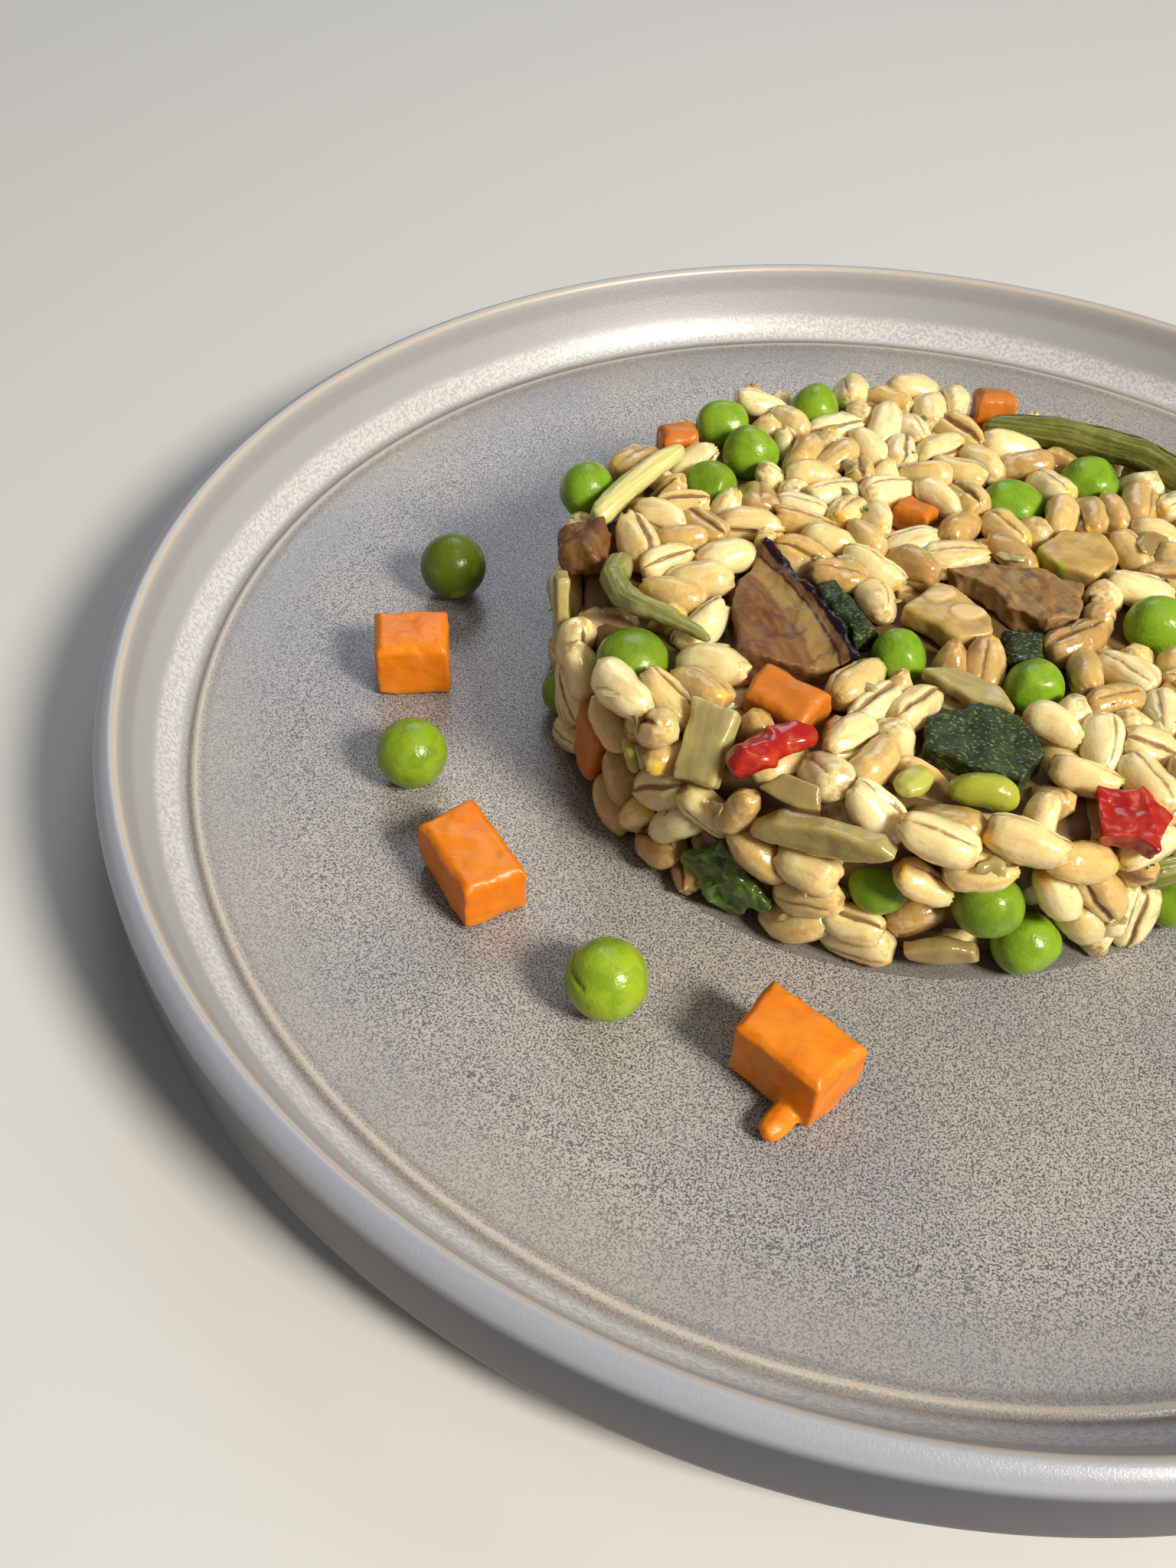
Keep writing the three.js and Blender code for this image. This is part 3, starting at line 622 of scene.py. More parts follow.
def grain_tree():
    """One grain on each point, then all of them real and uneven, with their finish."""
    inputs = [
        ("Grain", "NodeSocketObject"), ("Finish", "NodeSocketMaterial"),
        ("Wobble Size", "NodeSocketFloat"), ("Wobble", "NodeSocketFloat"),
        ("Pit Size", "NodeSocketFloat"), ("Pits", "NodeSocketFloat"),
    ]
    tree, given, result = new_tree("lay_grains", inputs)
    form = geo_node(tree, "GeometryNodeObjectInfo", None, {"Object": given.outputs["Grain"]})
    turn = geo_node(tree, "FunctionNodeEulerToRotation", None, {0: named(tree, "turn")}).outputs[0]
    on_points = {
        "Points": given.outputs["Geometry"], "Instance": form.outputs["Geometry"],
        "Rotation": turn, "Scale": named(tree, "stretch"),
    }
    laid = geo_node(tree, "GeometryNodeInstanceOnPoints", None, on_points).outputs[0]
    real = geo_node(tree, "GeometryNodeRealizeInstances", None, {"Geometry": laid}).outputs[0]
    uneven = wobble(tree, real, given.outputs["Wobble Size"], given.outputs["Wobble"])
    pitted = wobble(tree, uneven, given.outputs["Pit Size"], given.outputs["Pits"])
    painted = {"Geometry": pitted, "Material": given.outputs["Finish"]}
    final = geo_node(tree, "GeometryNodeSetMaterial", None, painted).outputs[0]
    tree.links.new(final, result.inputs[0])
    return tree


def use_tree(obj, tree, **values):
    """Adds the tree as a modifier and sets its inputs by their identifiers."""
    modifier = obj.modifiers.new(tree.name, "NODES")
    modifier.node_group = tree
    names = {i.name: i.identifier for i in tree.interface.items_tree if i.in_out == "INPUT"}
    for key, value in values.items():
        modifier[names[key.replace("_", " ").title()]] = value


def made_plain(obj):
    """The object with its modifiers worked into a plain mesh."""
    bpy.context.view_layer.update()
    graph = bpy.context.evaluated_depsgraph_get()
    mesh = bpy.data.meshes.new_from_object(obj.evaluated_get(graph), depsgraph=graph)
    obj.modifiers.clear()
    old, obj.data = obj.data, mesh
    bpy.data.meshes.remove(old)
    mesh.name = obj.name
    mesh.polygons.foreach_set("use_smooth", [True] * len(mesh.polygons))
    return obj


# %% [markdown]
# ### The look of a cooked grain
# Cooked grain is wet, pale straw and a little see-through. Light enters it and comes out near by,
# which subsurface scattering does. The crease and the ragged tips are brown, some tips hold a yellow
# speck of germ, and each grain has its own tone, from ivory to tan.

# %% Farro finish
farro = Finish(
    "cooked_farro", subsurface_weight=0.8, subsurface_radius=(1.0, 0.68, 0.25),
    subsurface_scale=2.6 * MM, coat_weight=0.45, coat_roughness=0.1, ior=1.4,
)
IVORY, STRAW, TAN = (0.88, 0.74, 0.41), (0.74, 0.53, 0.20), (0.46, 0.28, 0.09)
CREASE_BROWN, GERM = (0.25, 0.108, 0.028), (0.86, 0.50, 0.05)
CREAM, BRAN, TUFT = (0.90, 0.80, 0.50), (0.46, 0.25, 0.07), (0.40, 0.22, 0.07)
tone = farro.stored("tint")
blotch = farro.noise(2.3 * MM, detail=3)
own_place = farro.vector(farro.stored("along") * 0.22, farro.stored("round") * 1.9, tone * 40)
bran = farro.noise(1.0, detail=3, vector=own_place)
flesh = farro.mix(tone.ramp(0.0, 0.7), IVORY, STRAW)
flesh = farro.mix((tone + blotch * 0.6).ramp(0.75, 1.25), flesh, TAN)
flesh = farro.mix(blotch.ramp(0.52, 0.72) * 0.45, flesh, CREAM)
flesh = farro.mix(bran.ramp(0.52, 0.72) * 0.4, flesh, BRAN)
tuft = farro.stored("tip") * farro.noise(0.9 * MM, detail=3).ramp(0.4, 0.62)
flesh = farro.mix(tuft * 0.6, flesh, TUFT)
germ = farro.stored("tip").ramp(0.2, 0.9) * farro.noise(3.1 * MM, detail=0).ramp(0.62, 0.7)
flesh = farro.mix(germ * 0.8, flesh, GERM)
line = (farro.stored("crease") + (farro.noise(1.1 * MM, detail=2) - 0.5) * 0.5).ramp(0.2, 0.62)
farro.colour(farro.mix(line * 0.8, flesh, CREASE_BROWN))
film = farro.noise(0.55 * MM, detail=3, rough=0.6)
farro.gloss(0.05 + blotch * 0.16)
farro.relief(film * 0.75 + bran * 0.25, 0.2 * MM, 0.65)

# %% Lay the grains
FACE_OUT = 0.6  # share of grains that show their crease
CREASE_LEAN, TURNED_AWAY = 0.6, 0.9  # radians either side of the way out
GRAIN_WOBBLE = dict(wobble_size=4.6 * MM, wobble=0.9 * MM, pit_size=0.95 * MM, pits=0.34 * MM)
lay = grain_tree()


def facing(middle):
    """The way out of the round from a grain's middle: up, or away from the axis."""
    rho = math.hypot(middle[0], middle[1])
    if MOULD_TOP - middle[2] < MOULD_RADIUS - rho:
        return Vector((0, 0, 1))
    return Vector((middle[0], middle[1], 0)).normalized()


def turns_for(middles, axes):
    """Euler turns that lay each grain's X along its axis, some with the crease outwards."""
    turns = []
    for middle, axis in zip(middles, axes):
        x = Vector(axis)
        out = facing(middle)
        z = (out - out.dot(x) * x).normalized()
        if rng.random() > FACE_OUT:
            roll = rng.uniform(TURNED_AWAY, 2 * math.pi - TURNED_AWAY)
        else:
            roll = rng.uniform(-CREASE_LEAN, CREASE_LEAN)
        z = Matrix.Rotation(roll, 3, x) @ z
        turns.append(tuple(Matrix((x, z.cross(x), z)).transposed().to_euler()))
    return turns


def lay_on(piece, form, finish, sizes, slot, *nodes):
    """Sets the form on every point of a piece, makes the result plain and finishes it."""
    use_tree(piece, lay, grain=form, finish=finish.material, **sizes)
    made_plain(piece)
    bpy.data.objects.remove(form)
    finish_piece(piece, finish, slot, *nodes)


def lay_kind(name, settings, chosen):
    """Lays one kind of grain on the chosen middles."""
    form = grain_form(name + "_form", **settings)
    piece = mesh_object(name, middles[chosen] + np.append(CENTRE, 0), [])
    store(piece, "turn", turns_for(middles[chosen], axes[chosen]))
    uneven = rng.uniform((0.9, 0.92, 0.92), (1.06, 1.1, 1.08), (len(chosen), 3))
    store(piece, "stretch", sizes[chosen][:, None] * uneven)
    store(piece, "tint", rng.beta(1.6, 2.2, len(chosen)))
    print(len(chosen), "grains: ", end="")
    lay_on(piece, form, farro, GRAIN_WOBBLE, "farro", "farro")


kind_of = rng.choice(len(GRAIN_KINDS), len(middles), p=SHARES)
for index, (kind, settings) in enumerate(GRAIN_KINDS.items()):
    lay_kind(kind, settings, np.flatnonzero(shown & (kind_of == index)))
lay_kind("grains_under", HIDDEN_KIND, np.flatnonzero(~shown))

# %% [markdown]
# ### What binds them
# Starch and stock fill the space between the grains. It shows only as dark, wet gaps, so a plain
# turned core is enough, its face between the two layers. Its colour is brown stock darkened by
# painted shade, which stands for the shade deep between the grains.

# %% Core
BIND_DEPTH, CORE_SIDES = 4.6, 96
bound = MOULD_RADIUS - BIND_DEPTH
CORE_CORNERS = [
    (0, MOULD_BASE, 0), (bound, MOULD_BASE, 0.5), (bound, MOULD_TOP - BIND_DEPTH, 3),
    (0, MOULD_TOP - BIND_DEPTH, 0),
]
core = turned("farro_core", rounded(CORE_CORNERS), CORE_SIDES)
core.data.transform(Matrix.Translation((CENTRE[0] * MM, CENTRE[1] * MM, 0)))
stock_and_shade = Finish("starchy_stock", roughness=0.6, coat_weight=0.05, coat_roughness=0.2, ior=1.34)
STOCK_AND_SHADE_DARK, STOCK_AND_SHADE_BROWN = (0.085, 0.042, 0.014), (0.19, 0.105, 0.036)
# brown stock, darkened as painted shade between the grains
stock_and_shade.colour(stock_and_shade.mix(stock_and_shade.noise(3 * MM, detail=3), STOCK_AND_SHADE_DARK, STOCK_AND_SHADE_BROWN))
finish_piece(core, stock_and_shade, "farro", "farro")

# %% [markdown]
# ## Peas
# A cooked pea is a ball that has gone a little soft: its skin wrinkles or caves in where it pressed
# on a neighbour, and on one loose pea it has split. Each is a sphere of many faces, pushed in along
# a few directions of its own, at the place and size of its node.

# %% Pea forms
PEA_DETAIL, LOOSE_PEA_DETAIL = (24, 36), (50, 76)  # rings, sides
PEA_NODES = sorted(n for n in NODES if "pea_" in n)
# For single peas: how deep their dents are, how yellow their skin is and how stewed it looks. On
# pea_06 that darkening is painted shade.
DENTED = {"pea_04": 0.26, "pea_10": 0.22, "pea_08": 0.12, "pea_09": 0.16, "pea_07": 0.1}
RIPE = {"loose_pea_3": 0.95, "loose_pea_2": 0.75, "loose_pea_1": 0.0}
COOKED_AND_SHADED = {"loose_pea_1": 0.85, "loose_pea_2": 0.2, "pea_06": 0.35, "pea_04": 0.2, "pea_12": 0.15}
SPLIT_SKIN = {  # directions from the pea's middle that the crack runs through
    "loose_pea_3": [(-0.87, 0.05, 0.5), (-0.8, -0.32, 0.5), (-0.58, -0.63, 0.5), (-0.3, -0.82, 0.45)],
}
BROAD_DENTS, WRINKLES, DEEP_DENTS = 3, 4, 4
CRACK_WIDTH, CRACK_DEPTH = 0.07, 0.07  # radians, and share of the radius


def unit_sphere(rings, sides):
    """Points and faces of a ball of radius 1, poles closed."""
    tilt = np.linspace(0, math.pi, rings + 1)[1:-1]
    around = np.arange(sides) * 2 * math.pi / sides
    t, a = np.meshgrid(tilt, around, indexing="ij")
    points = np.stack((np.sin(t) * np.cos(a), np.sin(t) * np.sin(a), np.cos(t)), -1).reshape(-1, 3)
    points = np.vstack((points, [[0, 0, 1], [0, 0, -1]]))
    return points, tube_faces(rings - 1, sides)


def dented(points, draw, lean, width, depth):
    """Pushes a ball in around a random way. Depth is a number, or a range to draw it from."""
    way = draw.normal(size=3) + lean
    if isinstance(depth, tuple):
        depth = draw.uniform(*depth)
    way /= np.linalg.norm(way)
    closeness = np.exp(-(((1 - points @ way) / width) ** 2))
    return points * (1 - depth * closeness)[:, None]


def split(ball, way):
    """How near each point of a ball lies to a crack that runs through the given directions."""
    way = np.array(way)
    way = np.vstack([way[:-1] + (way[1:] - way[:-1]) * t for t in (0, 0.25, 0.5, 0.75)])
    way /= np.linalg.norm(way, axis=1, keepdims=True)
    nearest = np.arccos(np.clip(ball @ way.T, -1, 1)).min(1)
    return np.exp(-((nearest / CRACK_WIDTH) ** 2))


def pea_points(node, ball, crack, draw):
    """A pea's points: split, dented, and in the place and size of its node."""
    low, high = (np.array(c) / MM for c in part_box(node))
    points = ball * (1 - CRACK_DEPTH * crack)[:, None]
    for _ in range(0 if "loose" in node else BROAD_DENTS):
        points = dented(points, draw, (0, -0.4, 0.5), 0.25, (0.05, 0.15))
    for _ in range(WRINKLES):
        points = dented(points, draw, 0, 0.03, 0.025)
    for _ in range(DEEP_DENTS if node in DENTED else 0):
        points = dented(points, draw, (0, -0.3, 1.1), 0.09, DENTED[node] * 0.6)
    return (low + high) / 2 + points * (high - low) / 2


def make_peas():
    """All peas as one mesh, with how ripe, how darkened and how cracked each point is. Darkening is
    stewed colour, on pea_06 painted shade.
    """
    draw = np.random.default_rng(11)
    points, all_faces, ripe, dull, cracks, start = [], [], [], [], [], 0
    for node in PEA_NODES:
        ball, faces = unit_sphere(*(LOOSE_PEA_DETAIL if "loose" in node else PEA_DETAIL))
        crack = split(ball, SPLIT_SKIN[node]) if node in SPLIT_SKIN else np.zeros(len(ball))
        points.append(pea_points(node, ball, crack, draw))
        all_faces += [tuple(start + v for v in face) for face in faces]
        start += len(ball)
        ripe += [RIPE.get(node, draw.uniform(0.1, 0.42))] * len(ball)
        dull += [COOKED_AND_SHADED.get(node, 0.0)] * len(ball)
        cracks.append(crack)
    piece = mesh_object("peas", np.vstack(points), all_faces)
    store(piece, "ripe", ripe)
    store(piece, "dull", dull)
    store(piece, "crack", np.concatenate(cracks))
    return piece


pea = Finish(
    "garden_pea", subsurface_weight=0.25, subsurface_radius=(0.5, 0.9, 0.1),
    subsurface_scale=1.5 * MM, coat_weight=0.1, coat_roughness=0.12, ior=1.34,
)
FRESH, YELLOWED, DEEP_GREEN = (0.185, 0.34, 0.018), (0.31, 0.42, 0.02), (0.10, 0.21, 0.010)
COOKED_AND_SHADE_GREEN, BLOOM, CRACK_SHADE = (0.085, 0.11, 0.006), (0.34, 0.45, 0.07), (0.12, 0.15, 0.008)
mottle = pea.noise(2.6 * MM, detail=3)
skin = pea.mix(pea.stored("ripe"), FRESH, YELLOWED)
skin = pea.mix(mottle.ramp(0.55, 0.36) * 0.45, skin, DEEP_GREEN)
# stewed colour; on pea_06 this darkening is painted shade
skin = pea.mix(pea.stored("dull"), skin, COOKED_AND_SHADE_GREEN)
skin = pea.mix(pea.noise(4.5 * MM, detail=1).ramp(0.6, 0.75) * 0.35, skin, BLOOM)
pea.colour(pea.mix(pea.stored("crack") * 0.75, skin, CRACK_SHADE))
pea.gloss(0.14 + mottle * 0.22)
pea.relief(pea.noise(0.5 * MM, detail=3) * 0.4 + mottle * 0.6, 0.4 * MM, 0.55)

finish_piece(make_peas(), pea, "pea", *PEA_NODES)

# %% [markdown]
# ## Cut vegetables
# The model's cut pieces are plain faceted solids. Cooking rounds their edges and softens their
# faces, so each is copied, rebuilt as an even skin of small faces, smoothed, and then moved by a
# coarse and a fine noise. A few numbers for each kind say how soft and how rough it came out.

# %% Softened copies
def soften_tree():
    """Moves every point by a coarse noise and then by a fine one."""
    inputs = [
        ("Coarse Size", "NodeSocketFloat"), ("Coarse", "NodeSocketFloat"),
        ("Fine Size", "NodeSocketFloat"), ("Fine", "NodeSocketFloat"),
    ]
    tree, given, result = new_tree("soften", inputs)
    moved = given.outputs["Geometry"]
    for kind in ("Coarse", "Fine"):
        moved = wobble(tree, moved, given.outputs[kind + " Size"], given.outputs[kind])
    tree.links.new(moved, result.inputs[0])
    return tree


soften = soften_tree()


def copy_of(node):
    """A new object with a node's mesh, its loose triangles merged."""
    copy = bpy.data.objects.new(node + "_copy", NODES[node].data.copy())
    bpy.context.scene.collection.objects.link(copy)
    weld = copy.modifiers.new("weld", "WELD")
    weld.merge_threshold = 0.001 * MM
    return copy


def softened(node, voxel, passes, coarse, fine):
    """A cut piece in the place of its node. Coarse and fine: a noise's size and reach, in mm."""
    piece = copy_of(node)
    remesh = piece.modifiers.new("even_skin", "REMESH")
    remesh.mode, remesh.voxel_size = "VOXEL", voxel * MM
    smooth = piece.modifiers.new("worn", "SMOOTH")
    smooth.factor, smooth.iterations = 0.5, passes
    coarse_size, coarse, fine_size, fine = (length * MM for length in (*coarse, *fine))
    use_tree(piece, soften, coarse_size=coarse_size, coarse=coarse, fine_size=fine_size, fine=fine)
    return made_plain(piece)


def points_of(obj):
    """A mesh's points in millimetres."""
    flat = np.empty(len(obj.data.vertices) * 3, dtype=np.float32)
    obj.data.vertices.foreach_get("co", flat)
    return flat.reshape(-1, 3).astype(float) / MM


def set_points(obj, points):
    """Moves a mesh's points to these places, in millimetres."""
    obj.data.vertices.foreach_set("co", (points * MM).astype(np.float32).ravel())
    obj.data.update()


def finish_parts(name, parts, finish, slot, *nodes):
    """Joins parts into one named piece, their stored numbers kept, and finishes it."""
    if len(parts) > 1:
        with bpy.context.temp_override(active_object=parts[0], selected_editable_objects=parts):
            bpy.ops.object.join()
    parts[0].name = parts[0].data.name = name
    finish_piece(parts[0], finish, slot, *nodes)


def distance_to_path(points, path):
    """For each point: distance along a path, and distance from it, to its left in plan, in mm."""
    path = np.asarray(path, float)
    best = np.full(len(points), np.inf)
    along, side = np.zeros(len(points)), np.zeros(len(points))
    walked = 0.0
    for start, end in zip(path[:-1], path[1:]):
        step = end - start
        length = np.linalg.norm(step)
        t = np.clip(((points[:, :2] - start) @ step) / length**2, 0, 1)
        away = points[:, :2] - (start + t[:, None] * step)
        distance = np.linalg.norm(away, axis=1)
        closer = distance < best
        best = np.where(closer, distance, best)
        along = np.where(closer, walked + t * length, along)
        left = np.sign(step[0] * away[:, 1] - step[1] * away[:, 0])
        side = np.where(closer, distance * left, side)
        walked += length
    return along, side


# %% [markdown]
# ### Carrot
# Carrot cubes keep their cut faces longest. The faces have fine parallel marks from the fibres, a
# warm glow inside, and a wet film. The loose cubes are crisper and brighter than those in the farro,
# so each cube stores how stewed it is.

# %% Carrot
carrot = Finish(
    "cooked_carrot", subsurface_weight=0.15, subsurface_radius=(1.0, 0.35, 0.05),
    subsurface_scale=2 * MM, coat_weight=0.08, coat_roughness=0.16, ior=1.34,
)
CARROT, CARROT_PALE, CARROT_DULL = (0.74, 0.19, 0.004), (0.80, 0.28, 0.015), (0.52, 0.165, 0.018)
FIBRE_RED = (0.66, 0.13, 0.004)
fibre = carrot.noise(1.0, detail=3, vector=carrot.stretched((300, 1900, 900), (0, 0, 0.5)))
patch = carrot.noise(3.5 * MM, detail=2)
root = carrot.mix(patch.ramp(0.4, 0.65) * 0.5, CARROT, CARROT_PALE)
root = carrot.mix(carrot.stored("stewed"), root, CARROT_DULL)
carrot.colour(carrot.mix(fibre.ramp(0.5, 0.72) * 0.35, root, FIBRE_RED))
carrot.gloss(0.3 + patch * 0.14)
carrot.relief(fibre * 0.7 + carrot.noise(0.45 * MM, detail=2) * 0.3, 0.16 * MM, 0.55)


def make_carrot(node):
    """A cube: loose ones keep their edges, the others come out rounder."""
    loose = node.startswith("loose")
    piece = softened(node, 0.3, 3 if loose else 9, (4.5, 0.9 if loose else 1.3), (1.1, 0.16))
    store(piece, "stewed", 0.0 if loose else 0.85)
    return piece


CARROTS = sorted(n for n in NODES if "carrot" in n)
finish_parts("carrot_cubes", [make_carrot(n) for n in CARROTS], carrot, "carrot", *CARROTS)

# %% [markdown]
# ### Aubergine
# Stewed aubergine turns brown and stringy, with a thin purple-black skin. The wedge on top shows its
# skin as a dark, shiny rim along one side, with a second dark line just inside it. The distance from
# that side is stored on the points, so the finish can follow it.

# %% Aubergine
aubergine = Finish(
    "stewed_aubergine", subsurface_weight=0.25, subsurface_radius=(1.0, 0.5, 0.25),
    subsurface_scale=1.8 * MM, coat_weight=0.06, coat_roughness=0.15, ior=1.34,
)
FLESH_BROWN, FLESH_PALE, FLESH_DARK = (0.16, 0.066, 0.022), (0.28, 0.15, 0.045), (0.07, 0.025, 0.012)
SKIN_DARK, GOLD, FADED = (0.014, 0.006, 0.010), (0.36, 0.225, 0.062), (0.33, 0.215, 0.10)
away = aubergine.stored("rim")
lump = aubergine.noise(2.8 * MM, detail=3)
lengthwise = aubergine.vector(aubergine.stored("along") * 0.12, away * 0.75)
string = aubergine.noise(1.0, detail=4, vector=lengthwise)
pulp = aubergine.mix(string.ramp(0.4, 0.68) * 0.6, FLESH_BROWN, FLESH_PALE)
bleached = aubergine.mix(string.ramp(0.4, 0.65), FLESH_PALE, FADED)
pulp = aubergine.mix(aubergine.stored("faded"), pulp, bleached)
pulp = aubergine.mix(lump.ramp(0.5, 0.34) * 0.6, pulp, FLESH_DARK)
gold = (away + (lump - 0.5) * 1.4).band(3.7, 1.0, 0.9)
pulp = aubergine.mix(gold * 0.7, pulp, GOLD)
rim = away + (aubergine.noise(2.4 * MM, detail=1) - 0.5) * 0.5
peel = rim.ramp(1.25, 0.95).larger(rim.band(2.1, 0.08, 0.22) * 0.75)
aubergine.colour(aubergine.mix(peel, pulp, SKIN_DARK))
wrinkle = aubergine.noise(0.5 * MM, detail=3)
aubergine.gloss(0.4 + lump * 0.16 - peel * 0.26)
aubergine.relief(string * 0.5 + lump * 0.15 + wrinkle * 0.35, 0.26 * MM, 0.6)

# %% Aubergine pieces
WEDGE_SKIN = [  # the edge that keeps its skin, in plan
    (-24.2, -0.9), (-21.4, -3.2), (-18.7, -5.3), (-15.4, -8.4), (-12.1, -12.1), (-9.4, -15.9),
    (-7.0, -20.1),
]
WEDGE_TOP, FAR_FROM_SKIN = 28.5, 9.0
RIM_LIFT, RIM_WIDTH = 0.7, 1.4
HOLLOW_DEPTH, HOLLOW_AT, HOLLOW_WIDTH = 0.9, 5.5, 3.5


def make_aubergine(node):
    """A piece with its distance from the skin. The wedge's top has a raised rim and a hollow."""
    piece = softened(node, 0.3, 8, (3.6, 2.0), (1.0, 0.4))
    points = points_of(piece)
    if node == "aubergine_01":
        along, side = distance_to_path(points, WEDGE_SKIN)
        inwards = np.abs(side)
        top = np.clip((points[:, 2] - WEDGE_TOP) / 1.5, 0, 1)
        hollow = np.exp(-(((inwards - HOLLOW_AT) / HOLLOW_WIDTH) ** 2))
        rim = np.exp(-((inwards / RIM_WIDTH) ** 2))
        points[:, 2] += top * (RIM_LIFT * rim - HOLLOW_DEPTH * hollow)
        set_points(piece, points)
    else:
        along, inwards = points[:, 0] - points[:, 1], points[:, 0] + points[:, 1]
        inwards = FAR_FROM_SKIN + inwards - inwards.min()
    store(piece, "rim", inwards)
    store(piece, "along", along)
    store(piece, "faded", 0.85 if node == "aubergine_02" else 0.0)
    return piece


AUBERGINES = sorted(n for n in NODES if n.startswith("aubergine"))
parts = [make_aubergine(n) for n in AUBERGINES]
finish_parts("aubergine_pieces", parts, aubergine, "aubergine", *AUBERGINES)

# %% [markdown]
# ### Courgette
# The skin is almost black-green with short pale dashes. The cut flesh is tan and glassy: one piece
# holds two flat oval seeds, one has a strip of skin along its edge, one is still green.

# %% Courgette skin
RIND_DARK, RIND, DASH = (0.014, 0.022, 0.007), (0.034, 0.052, 0.014), (0.22, 0.27, 0.08)
skin_finish = Finish("courgette_skin", coat_weight=0.08, coat_roughness=0.16, ior=1.36)
dashes = skin_finish.stretched((1900, 3300, 2600), (0, 0, 0.35))
dash = skin_finish.noise(1.0, detail=2, vector=dashes)
shade = skin_finish.noise(2.6 * MM, detail=3)
rind = skin_finish.mix(shade.ramp(0.35, 0.7), RIND_DARK, RIND)
skin_finish.colour(skin_finish.mix(dash.ramp(0.56, 0.68) * 0.65, rind, DASH))
skin_finish.gloss(0.4 + shade * 0.15)
skin_finish.relief(dash * 0.4 + skin_finish.noise(0.6 * MM, detail=3) * 0.6, 0.25 * MM, 0.7)
SKINS = ["courgette_01", "courgette_03", "courgette_05", "courgette_07"]
parts = [softened(n, 0.28, 8, (3.5, 1.4), (0.9, 0.35)) for n in SKINS]
finish_parts("courgette_skins", parts, skin_finish, "courgette", *SKINS)

# %% Courgette flesh
flesh_finish = Finish(
    "courgette_flesh", subsurface_weight=0.7, subsurface_radius=(1.0, 0.7, 0.3),
    subsurface_scale=2.5 * MM, coat_weight=0.1, coat_roughness=0.12, ior=1.36,
)
GLASSY, CLOUDED, VEIN = (0.40, 0.255, 0.075), (0.55, 0.39, 0.135), (0.34, 0.20, 0.07)
SEED_CREAM, STILL_GREEN = (0.66, 0.50, 0.25), (0.34, 0.40, 0.035)
cloudy = flesh_finish.noise(2.6 * MM, detail=4)
veins = flesh_finish.stretched((350, 1200, 700), (0, 0, 0.4))
vein = flesh_finish.noise(1.0, detail=3, vector=veins)
glassy = flesh_finish.mix(cloudy.ramp(0.3, 0.7), GLASSY, CLOUDED)
glassy = flesh_finish.mix(vein.ramp(0.5, 0.8) * 0.3, glassy, VEIN)
glassy = flesh_finish.mix(flesh_finish.stored("seed_top"), glassy, SEED_CREAM)
flesh_finish.colour(flesh_finish.mix(flesh_finish.stored("green"), glassy, STILL_GREEN))
flesh_finish.gloss(0.16 + cloudy * 0.15)
flesh_finish.relief(cloudy * 0.3 + vein * 0.4 + flesh_finish.noise(0.5 * MM) * 0.3, 0.22 * MM, 0.5)

# %% Courgette pieces
SEEDS_IN_FLESH = [((0.4, -4.2), (2.3, 1.7), 0.6), ((4.4, -6.6), (2.5, 1.6), 0.3)]  # middle, half, turn
SEEDS_ABOVE, SEED_LIFT = 29.5, 0.5
GREEN_EDGE = [(10.4, 12.2), (11.8, 8.6), (14.6, 7.6)]
FLESHES = ["courgette_02", "courgette_04", "courgette_06"]


def oval(points, centre, half, turn):
    """1 in the middle of an oval in plan, 0 at its edge and beyond."""
    away = points[:, :2] - centre
    c, s = math.cos(turn), math.sin(turn)
    u = (away[:, 0] * c + away[:, 1] * s) / half[0]
    v = (away[:, 1] * c - away[:, 0] * s) / half[1]
    return np.clip(1 - (u * u + v * v), 0, 1)


def make_flesh(node):
    """A piece with how near each point is to a seed's top and how green it is."""
    piece = softened(node, 0.28, 26, (6, 1.4), (1.2, 0.16))
    points = points_of(piece)
    seeds, green = np.zeros(len(points)), np.zeros(len(points))
    if node == "courgette_02":
        for centre, half, turn in SEEDS_IN_FLESH:
            seeds = np.maximum(seeds, oval(points, centre, half, turn))
        high = np.clip((points[:, 2] - SEEDS_ABOVE), 0, 1)
        points[:, 2] += SEED_LIFT * np.sqrt(seeds) * high
        set_points(piece, points)
        seeds = np.clip(seeds * 3, 0, 1) * high
    elif node == "courgette_04":
        _, side = distance_to_path(points, GREEN_EDGE)
        green = np.clip(1.6 - np.abs(side), 0, 1)
    else:
        green += 0.85
    store(piece, "seed_top", seeds)
    store(piece, "green", green)
    return piece


parts = [make_flesh(n) for n in FLESHES]
finish_parts("courgette_flesh_pieces", parts, flesh_finish, "courgette_flesh", *FLESHES)

# %% [markdown]
# ### Beans
# A cooked bean pod is olive and wrinkled along its length. The longest has split along its seam, and
# one is a pale wax bean. The finish needs to know which way a pod runs, so each point stores how far
# along the pod it is and how far to its side. The ridges are drawn in those two numbers, and the
# seam in a third, the distance from it.

# %% Which way the pods run
BEAN_PATHS = {
    "bean_01": [(0, 40.2), (12, 41.4), (24, 40), (35, 33)],
    "bean_02": [(-46.2, -5), (-44.4, 1.6), (-42.2, 8.6), (-39.8, 15.6)],
    "bean_03": [(-40.2, -10), (-40.4, -15), (-37, -19.8), (-31, -21.6), (-25, -23.4)],
    "bean_04": [(29, -31.5), (37.5, -24.6)],
}
PALENESS = {"bean_01": 0.0, "bean_02": 1.0, "bean_03": 0.22, "bean_04": 0.1}
OPEN_SEAM, SEAM_DRIFT, HIDDEN_SEAM = 0.9, 0.02, 9.0

